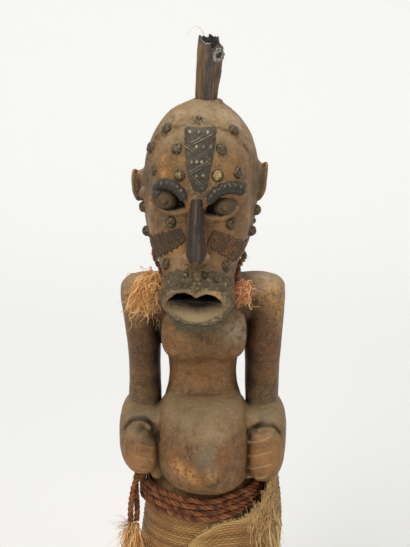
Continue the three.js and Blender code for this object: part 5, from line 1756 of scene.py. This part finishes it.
def make_wisp():
    """Two fibres side by side, the second one shorter."""
    line = smooth_line(WISP, 40)
    second = smooth_line([[x * 0.85 + 0.6, y + 0.8, z - 1.8] for x, y, z in WISP[:5]], 40)
    taper = np.linspace(0.34, 0.12, 40)
    points, faces = sweep(head_to_world(np.stack([line, second])), np.stack([taper, taper]) * MM, 6)
    tone = np.full(len(points), 0.95)
    new_piece("rim_wisp", (points, faces, {"tone": tone, "deep": 0 * tone}), straw)


# Rope: strands laid round each other, and loose fibres on them


def frames_along(line):
    """Unit directions across a line that turn as little as they can."""
    tangent = unit(np.gradient(line, axis=0))
    side = unit(np.cross(tangent[0], [0.31, 0.17, 0.93]))
    sides = []
    for ahead in tangent:
        side = unit(side - (side @ ahead) * ahead)
        sides.append(side)
    sides = np.array(sides)
    return sides, np.cross(tangent, sides)


def rope_mesh(line, radius, strands=3, lay=3.3, sides=12, seed=1):
    """Points in metres, faces and values of a laid rope. The line and radius are in metres."""
    along = line_lengths(line)
    first, second = frames_along(line)
    paths, reaches, phases = [], [], []
    for k in range(strands):
        turn = 2 * np.pi * (along / (lay * 2 * radius) + k / strands)
        slack = 1 + 0.07 * lumps(line / MM, 14, seed + k)
        offset = radius * (0.5 if strands > 2 else 0.46) * slack
        out = np.cos(turn)[:, None] * first + np.sin(turn)[:, None] * second
        paths.append(line + offset[:, None] * out)
        yarn = 1 + 0.10 * np.cos(4 * (full_turn(sides) - turn[:, None] * 1.6))
        yarn = yarn + 0.05 * lumps(line / MM, 5, seed + 9 + k)[:, None]
        reaches.append(radius * (0.52 if strands > 2 else 0.56) * yarn)
        phases.append(np.full((len(line), sides), 0.35 + 0.3 * k / strands))
    points, faces = sweep(np.array(paths), np.array(reaches), sides)
    tone = np.array(phases).reshape(-1) + 0.25 * lumps(points / MM, 9, seed + 20)
    middle = np.repeat(np.tile(line, (strands, 1)), sides, 0)
    # Painted shade where the strands lie deep, near the rope's middle.
    deep = between(-np.linalg.norm(points - middle, axis=1) / radius, -0.86, -0.55)
    return points, faces, {"tone": np.clip(tone, 0, 1), "deep": 0.85 * deep}


def loose_fibres(line, radius, count, seed, length=5.0, thick=0.11):
    """Short fibres that stand off a rope: tubes from its surface that bend away."""
    random = np.random.default_rng(seed)
    first, second = frames_along(line)
    spot = random.integers(2, len(line) - 2, count)
    angle = random.uniform(0, 2 * np.pi, count)
    out = np.cos(angle)[:, None] * first[spot] + np.sin(angle)[:, None] * second[spot]
    ahead = unit(np.gradient(line, axis=0))[spot] * random.choice([-1, 1], count)[:, None]
    t = np.linspace(0, 1, 6)[None, :, None]
    reach = (length * random.uniform(0.4, 1.3, count) * MM)[:, None, None]
    drift = random.normal(0, 0.35, (count, 1, 3))
    path = line[spot][:, None] + out[:, None] * (radius * 0.8 + reach * 0.45 * t)
    path = path + (ahead[:, None] * 0.8 + drift) * reach * t ** 1.5
    radii = np.broadcast_to(thick * MM * (1.15 - np.linspace(0, 1, 6)), (count, 6))
    points, faces = sweep(path, radii, 3)
    tone = np.repeat(random.uniform(0.4, 1, count), 18)
    return points, faces, {"tone": tone, "deep": 0 * tone}


def gather(*parts):
    """Several meshes, each points, faces and values, as one."""
    points, faces, values, start = [], {}, {}, 0
    for part_points, part_faces, part_values in parts:
        points.append(part_points)
        for face in facing_out(part_points, part_faces):
            faces.setdefault(face.shape[1], []).append(face + start)
        for key, numbers in part_values.items():
            values.setdefault(key, []).append(numbers)
        start += len(part_points)
    return (np.concatenate(points), [np.concatenate(face) for face in faces.values()],
            {key: np.concatenate(numbers) for key, numbers in values.items()})


# The hips' outline, the belt's turns and its hanging ends, as the solids have them

HIPS = {"half_width": 56, "front": 53, "back": 56, "power": 2.4, "belly": 34}
HIP_TILT = 0.14
HIP_LIFT = 7.5
ROPE_RADIUS = 2.9
ROPE_PITCH = 6.2
ROPE_TURNS = 4
ROPE_MARGIN = 6.9
ROPE_TOP = 231.0
SKIRT_TOP = ROPE_TOP - ROPE_RADIUS - ROPE_PITCH
SKIRT_HEM = 74.0
TAIL_RADIUS = 3.0
BELT_SIDE = np.array([-HIPS["half_width"] - ROPE_MARGIN, 0, ROPE_TOP])
TAIL_FRONT = [[8.15, -33, 6], [1.65, -36.6, 4.8], [-4.85, -37, -3], [-8.35, -37, -15], [-10.35, -37, -31],
              [-10.85, -37, -48]]
TAIL_BACK = [[3.15, -26, 7], [-2.85, -28, 4.8], [-5.35, -30, -6], [-4.85, -30.5, -20], [-4.35, -31, -34],
             [-4.85, -31, -48]]


def hip_point(angle, margin, z, settled):
    """Points in drawn millimetres round the hips, grown by a margin: 0 is at +X, 90 degrees behind.

    What is settled there, as a share, follows the belly that presses the rope down in front.
    """
    c, s = np.cos(angle), np.sin(angle)
    x = (HIPS["half_width"] + margin) * np.sign(c) * np.abs(c) ** (2 / HIPS["power"])
    depth = np.where(s < 0, HIPS["front"], HIPS["back"]) + margin
    y = depth * np.sign(s) * np.abs(s) ** (2 / HIPS["power"])
    pressed = np.exp(-(x / HIPS["belly"]) ** 2) * np.maximum(0, -s)
    return joined(x, y, z + settled * (HIP_TILT * y + HIP_LIFT * (1 - pressed)))


def hang_tail(name, points, seed):
    """One hanging end of the belt, a free cord: its strands and loose fibres."""
    line = smooth_line(np.array(points) + BELT_SIDE, 60) * DRAWN
    rope = rope_mesh(line, TAIL_RADIUS * MM, lay=2.9, seed=seed)
    piece = new_piece(name + "_strands", rope, fibre, name)
    fuzz = new_piece(name + "_fuzz", loose_fibres(line, TAIL_RADIUS * MM, 60, seed, 4.0), fibre)


def bundle_fibres(count, seed, start, run, spread, steps=14, thick=0.3, curl=3.0, flat=0.5, start_spread=2.0):
    """Fibres in metres that leave a place, spread out and curl: start and run are in drawn millimetres."""
    random = np.random.default_rng(seed)
    t = np.linspace(0, 1, steps)[None, :, None]
    begin = np.array(start) + random.normal(0, 1, (count, 1, 3)) * start_spread
    aim = np.array(run) * random.uniform(0.55, 1.1, (count, 1, 1))
    fan = random.normal(0, 1, (count, 1, 3)) * spread
    path = begin + aim * t + fan * t ** 0.8
    for wave in (1.0, 2.1, 3.7):
        phase = random.uniform(0, 2 * np.pi, (count, 1, 3))
        rate = random.uniform(0.7, 1.3, (count, 1, 1)) * wave * 2 * np.pi
        size = curl / wave * random.normal(0, 0.6, (count, 1, 3))
        path = path + size * (np.sin(rate * t + phase) - np.sin(phase))
    radii = thick * random.uniform(0.6, 1.3, (count, 1)) * (1 - 0.55 * np.linspace(0, 1, steps) ** 3)
    points, faces = sweep(path * DRAWN, radii * MM, 4, squash=flat)
    tone = np.repeat(random.uniform(0, 1, count), steps * 4)
    # Painted shade on the fibres nearest the bundle's middle.
    centre = (begin + aim * 0.5).mean(0)
    reach = np.maximum(np.abs(np.array(run)) * 0.55 + spread, 1)
    away = np.linalg.norm((points / DRAWN - centre) / reach, axis=1)
    return points, faces, {"tone": tone, "deep": 0.8 * between(-away, -0.95, -0.3)}


# Cords: the belt's two hanging ends come before the other pieces

fibre = fibre_material("twisted_fibre", paint(28, 16, 10), paint(86, 46, 26), paint(146, 90, 50), 0.05)
straw = fibre_material("raffia_fringe", paint(96, 70, 40), paint(180, 140, 84), paint(238, 206, 144))
golden = fibre_material("raffia_fibre", paint(96, 54, 24), paint(204, 138, 74), paint(252, 208, 136))


def hang_tails():
    """The tassel, which is tied on both ends, and then both ends."""
    tassel = make_tassel()
    hang_tail("rope_tail_front", TAIL_FRONT, 61)
    hang_tail("rope_tail_back", TAIL_BACK, 71)


def make_tassel():
    """Golden raffia tied on the belt's ends: frayed at the top, with a long hanging skirt of fibres."""
    top = BELT_SIDE + [-7.85, -34.5, -49]
    hanging = bundle_fibres(420, 81, top + [0, -3, -4], [-4, -8, -76], [5.5, 5.0, 4], 14, 0.42, 3.2)
    short = bundle_fibres(160, 82, top + [0, -2, -2], [-3, -6, -34], [7.5, 6, 5], 10, 0.36, 3.4)
    radiating = bundle_fibres(70, 83, top + [-2, -2, -1], [-11, -4, -3], [6, 4, 6], 9, 0.24, 2.2)
    a = np.linspace(0, 4 * math.pi, 90)
    loops = top + joined(5.2 * np.cos(a), 3.8 * np.sin(a) - 1, -1.2 - 0.9 * a / 3)
    bind = rope_mesh(loops * DRAWN, 1.1 * MM, 2, 3, 8, 84)
    return new_piece("raffia_tassel", gather(hanging, short, radiating, bind), golden, "hip_tassel")


def wind_belt():
    """The belt goes round the hips over the cloth, each turn beside the last."""
    t = np.linspace(0, 1, 1000)
    angle = math.pi + 0.12 + t * (ROPE_TURNS * 2 * math.pi - 0.35)
    z = ROPE_TOP - ROPE_RADIUS - (1 - t) * ROPE_TURNS * ROPE_PITCH
    line = hip_point(angle, ROPE_MARGIN, z, 1)
    line = line + 0.45 * np.stack([lumps(line, 17, 91 + k) for k in range(3)], -1)
    line = line * DRAWN
    rope = rope_mesh(line, ROPE_RADIUS * MM, lay=3.0, seed=92)
    fuzz = loose_fibres(line, ROPE_RADIUS * MM, 700, 93, 4.5)
    new_piece("belt_strands", gather(rope, fuzz), fibre, "waist_rope")


# The cord round the neck: turns from the front in degrees, and heights in the head's frame
NECK_CORD = [[-46, -9], [-58, -6], [-76, 0], [-98, 9], [-122, 13], [-150, 14], [180, 14],
             [150, 14], [122, 14], [96, 14], [74, 11], [58, 4], [46, -2]]
NECK_CORD_RADIUS = 2.6


def around_head(turn, z, margin):
    """A point off the wood at a turn and a height round the head, in the head's frame."""
    angle = math.radians(turn)
    out = np.array([math.sin(angle), -math.cos(angle), 0])
    hit, _, _, _ = WOOD_TREE.ray_cast(Vector(head_to_world([0, 0, z])), Vector(TURN @ out))
    return (np.array(hit) / DRAWN - PIVOT) @ TURN + out * margin


def tie_neck_cord():
    spots = [around_head(turn, z, NECK_CORD_RADIUS + 0.6) for turn, z in NECK_CORD]
    line = head_to_world(smooth_line(spots, 320))
    rope = rope_mesh(line, NECK_CORD_RADIUS * MM, strands=2, lay=3.2, sides=12, seed=101)
    fuzz = loose_fibres(line, NECK_CORD_RADIUS * MM, 220, 102, 4.0)
    new_piece("neck_cord_strands", gather(rope, fuzz), fibre, "neck_cord")


def make_tufts():
    """Curly raffia tied under both sides of the jaw: a full tangle at the right, a small one at the left."""
    start = head_to_world([-41, -53, 2]) / DRAWN
    tangle = bundle_fibres(260, 111, start, [-13, -1, -30], [6.5, 4.5, 5], 22, 0.46, 5.2, 0.55, 2.4)
    fine = bundle_fibres(170, 112, start, [-11, -1, -31], [7.5, 5, 5.5], 22, 0.24, 5.4, 0.6, 2.2)
    strays = bundle_fibres(26, 113, start + [-4, 0, -12], [-12, -2, -12], [4, 3, 3], 16, 0.26, 2.6)
    long_one = bundle_fibres(3, 118, start + [-3, -2, -34], [8, -2, -17], [1.5, 1, 2], 16, 0.3, 2.0)
    new_piece("right_tuft_fibres", gather(tangle, fine, strays, long_one), golden, "right_raffia_tuft")
    start = head_to_world([48, -51, -1]) / DRAWN
    tangle = bundle_fibres(130, 114, start, [-2, -1, -15], [4.5, 3.5, 3.5], 18, 0.42, 3.6, 0.55, 1.8)
    fine = bundle_fibres(90, 115, start, [-2, -1, -16], [5, 3.8, 4], 18, 0.22, 3.8, 0.6, 1.8)
    red = fibre_material("red_raffia", paint(92, 50, 26), paint(196, 122, 70), paint(244, 196, 140))
    new_piece("left_tuft_fibres", gather(tangle, fine), red, "left_raffia_tuft")


# The wrapper: one strip of raffia cloth round the hips, its outer end lapped over the belt at the left

LAP_FROM = -1.75
LAP_TO = 0.8
WRAP = 2 * math.pi + LAP_TO - LAP_FROM
MARGINS = [[0, 14], [0.28, 10.5], [0.55, 6], [0.74, 2], [0.82, 0.5], [1, 0.5]]
LAP_MARGINS = [[0, 16.5], [0.1, 17.5], [0.4, 20], [0.62, 23.5], [0.8, 22.5], [0.94, 20], [1.06, 17.5]]
LAP_TOPS = [[-1.75, 0.66], [-1.6, 0.76], [-1.45, 0.808], [-1.3, 0.822], [-1.05, 0.83], [-0.8, 0.885],
            [-0.69, 0.96], [-0.58, 1.02], [-0.45, 1.04], [0.7, 1.04], [0.9, 0.8], [1.05, 0.8], [1.35, 1.0]]
CLOTH_THICK = 1.1
RIB = 2.5
STRIPS = 200


def lap_share(angle):
    """1 where the cloth lies over the belt, and 0 from where it dips and goes under it."""
    return 1 - between(angle, LAP_TO, LAP_TO + 0.35)


def cloth_top(angle):
    """The top edge as a share of the skirt's height: the outer end slants up over the belt."""
    tops = np.array(LAP_TOPS)
    return np.interp(angle, tops[:, 0], tops[:, 1])


def cloth_margin(angle, share):
    rows, laps = np.array(MARGINS), np.array(LAP_MARGINS)
    folds = (1.8 * np.cos(6 * angle + 1) + 0.8 * np.cos(13 * angle + 2)) * np.clip(1 - share, 0, 1)
    base = np.interp(share, rows[:, 0], rows[:, 1]) + folds
    over = np.interp(share, laps[:, 0], laps[:, 1]) + 0.6 * folds
    lapped = base + 2.6 + (np.maximum(over, base + 2.6) - base - 2.6) * between(angle, -1.35, -0.6)
    return base + (lapped - base) * lap_share(angle)


def cloth_points(angle, share, out):
    z = SKIRT_HEM + share * (SKIRT_TOP - SKIRT_HEM)
    return hip_point(angle, cloth_margin(angle, share) + out, z, np.clip(share, 0, 1.1))


def zipped(first, second, flip):
    """Triangles between two lines of point numbers that hold different counts."""
    faces, k = [], 0
    for i in range(len(first) - 1):
        faces.append([first[i], first[i + 1], second[k]])
        target = round((i + 1) * (len(second) - 1) / (len(first) - 1))
        if target > k:
            faces.append([first[i + 1], second[target], second[k]])
            k = target
    return np.array(faces)[:, ::-1] if flip else np.array(faces)


def cloth_ribs(depth, smooth):
    """The height of the cloth's ribs, the tone of each strip and the painted shade where it lies deep between
    them.
    """
    rib = np.floor(depth / RIB)
    strip = (rib % STRIPS).astype(int)
    random = np.random.default_rng(123)
    strength = random.uniform(0.55, 1.25, STRIPS)[strip]
    tone = random.uniform(0.3, 0.8, STRIPS)[strip]
    weave = np.cos(np.pi * (np.arange(depth.shape[1]) + rib))
    crest = np.sqrt(np.abs(np.sin(np.pi * depth / RIB)))
    relief = 0.7 * strength * (1 + 0.35 * weave) * crest + 0.35 * lumps(smooth, 13, 124)
    return relief, tone + 0.16 * weave, np.clip(1 - 1.25 * crest ** 2, 0, 1)


def cloth_faces(rows, plain, columns):
    """Faces of a closed sheet, from rows of points down its outside and plain rows up its inside."""
    index = np.arange((rows + plain) * columns).reshape(rows + plain, columns)
    ahead = np.roll(index, -1, 0)
    walls = four_sided(index[:, :-1], ahead[:, :-1], ahead[:, 1:], index[:, 1:])
    ends = [zipped(index[:rows, side], index[rows:, side][::-1], side == 0) for side in (0, -1)]
    return [walls, np.concatenate(ends)]


def weave_skirt():
    """The outside has a rib for each strip of straw; the inside is plain."""
    rows, columns, plain = ((370, 205, 20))
    angle = LAP_FROM + WRAP * np.linspace(0, 1, columns)
    top = cloth_top(angle)
    hem = 0.012 * lumps(10 * angle[:, None], 6, 121)
    down = np.linspace(0, 1, rows)[:, None]
    share = top + (hem - top) * down
    depth = (1 - share) * (SKIRT_TOP - SKIRT_HEM)
    smooth = cloth_points(angle, share, CLOTH_THICK)
    relief, tone, deep = cloth_ribs(depth + 0.5 * lumps(smooth, 26, 122), smooth)
    outer = cloth_points(angle, share, CLOTH_THICK + relief)
    share_in = top + (hem - top) * np.linspace(0, 1, plain)[:, None]
    inner = cloth_points(angle, share_in, 0 * share_in)
    points = np.concatenate([outer.reshape(-1, 3), inner[::-1].reshape(-1, 3)]) * DRAWN
    edge = hill(angle - LAP_FROM, 0.16) + 0 * share
    edge = np.maximum(edge, hill(share - top, 0.03) * (angle < LAP_TO + 0.3))
    inside = np.ones(plain * columns)
    values = {
        "tone": np.concatenate([tone.ravel(), 0.4 * inside]),
        "pale": np.concatenate([(0.8 * edge).ravel(), 0 * inside]),
        # Painted shade in the grooves between ribs, and over the plain inside.
        "deep": np.concatenate([deep.ravel(), 0.4 * inside]),
    }
    skin = points, cloth_faces(rows, plain, columns), values
    piece = new_piece("raffia_skirt", skin, cloth_material(), "skirt")
    fringe = fray_cloth()


def edge_fibres(count, seed, angles, share_of, ways, length, thick, stray=0.22):
    """Straw that stands out of an edge of the cloth. ways are out, along and up, as shares of length."""
    random = np.random.default_rng(seed)
    angle = random.uniform(*angles, count)
    share = share_of(angle)
    start = cloth_points(angle, share, CLOTH_THICK * random.uniform(0, 1.2, count))
    out = unit(cloth_points(angle, share, 4.0) - start)
    along = unit(cloth_points(angle + 0.02, share, 0.0) - cloth_points(angle, share, 0.0))
    steps = 8
    t = np.linspace(0, 1, steps)[None, :, None]
    reach = (length * random.uniform(0.35, 1.2, count))[:, None, None]
    mix = np.array(ways) + random.normal(0, stray, (count, 3))
    aim = mix[:, :1] * out + mix[:, 1:2] * along + mix[:, 2:] * UP
    path = start[:, None] + aim[:, None] * reach * t
    droop = [0, 0, -0.12] * reach * t ** 2
    path = path + random.normal(0, 0.16, (count, 1, 3)) * reach * t ** 2 + droop
    radii = thick * random.uniform(0.6, 1.3, (count, 1)) * (1 - 0.6 * np.linspace(0, 1, steps) ** 2)
    points, faces = sweep(path * DRAWN, radii * MM, 4, squash=0.5)
    tone = np.repeat(random.uniform(0.25, 1.15, count), steps * 4)
    return points, faces, {"tone": tone, "deep": 0 * tone}


def fray_cloth():
    """Loose straw on the cloth's slanting outer edge, over the belt and along the hem."""
    start = LAP_FROM + 0.01
    slant = edge_fibres(420, 131, (start, -0.45), lambda a: cloth_top(a) + 0.004, (0.25, -0.15, 0.35), 6, 0.3)
    rise = edge_fibres(260, 136, (-0.95, -0.4), lambda a: cloth_top(a) - np.linspace(0.0, 0.25, len(a)),
                       (0.14, -0.1, 0.9), 20, 0.42, 0.09)
    side = edge_fibres(240, 132, (start, start + 0.05),
                       lambda a: np.linspace(0, 0.66, len(a)), (0.3, -0.75, -0.3), 9, 0.28)
    lap = edge_fibres(240, 133, (-0.5, 0.8), lambda a: cloth_top(a) + 0.002, (0.15, 0.1, 0.8), 6, 0.25)
    loose = edge_fibres(260, 134, (-0.85, -0.3), lambda a: np.linspace(0.35, 0.95, len(a)),
                        (0.2, -0.12, -0.85), 24, 0.42, 0.12)
    hem = edge_fibres(520, 135, (LAP_FROM, LAP_FROM + WRAP), lambda a: 0 * a, (0.12, 0, -0.9), 13, 0.34)
    return new_piece("cloth_fringe", gather(slant, rise, side, lap, loose, hem), straw)


# The whole figure

hang_tails()
make_backdrop()
make_lights()
wood_piece = carve_wood(wood_material())
WOOD_TREE = wood_tree(wood_piece)
lay_metal()
drive_tacks()
make_horn()
make_charge()
make_crust()
make_wisp()
wind_belt()
tie_neck_cord()
make_tufts()
weave_skirt()
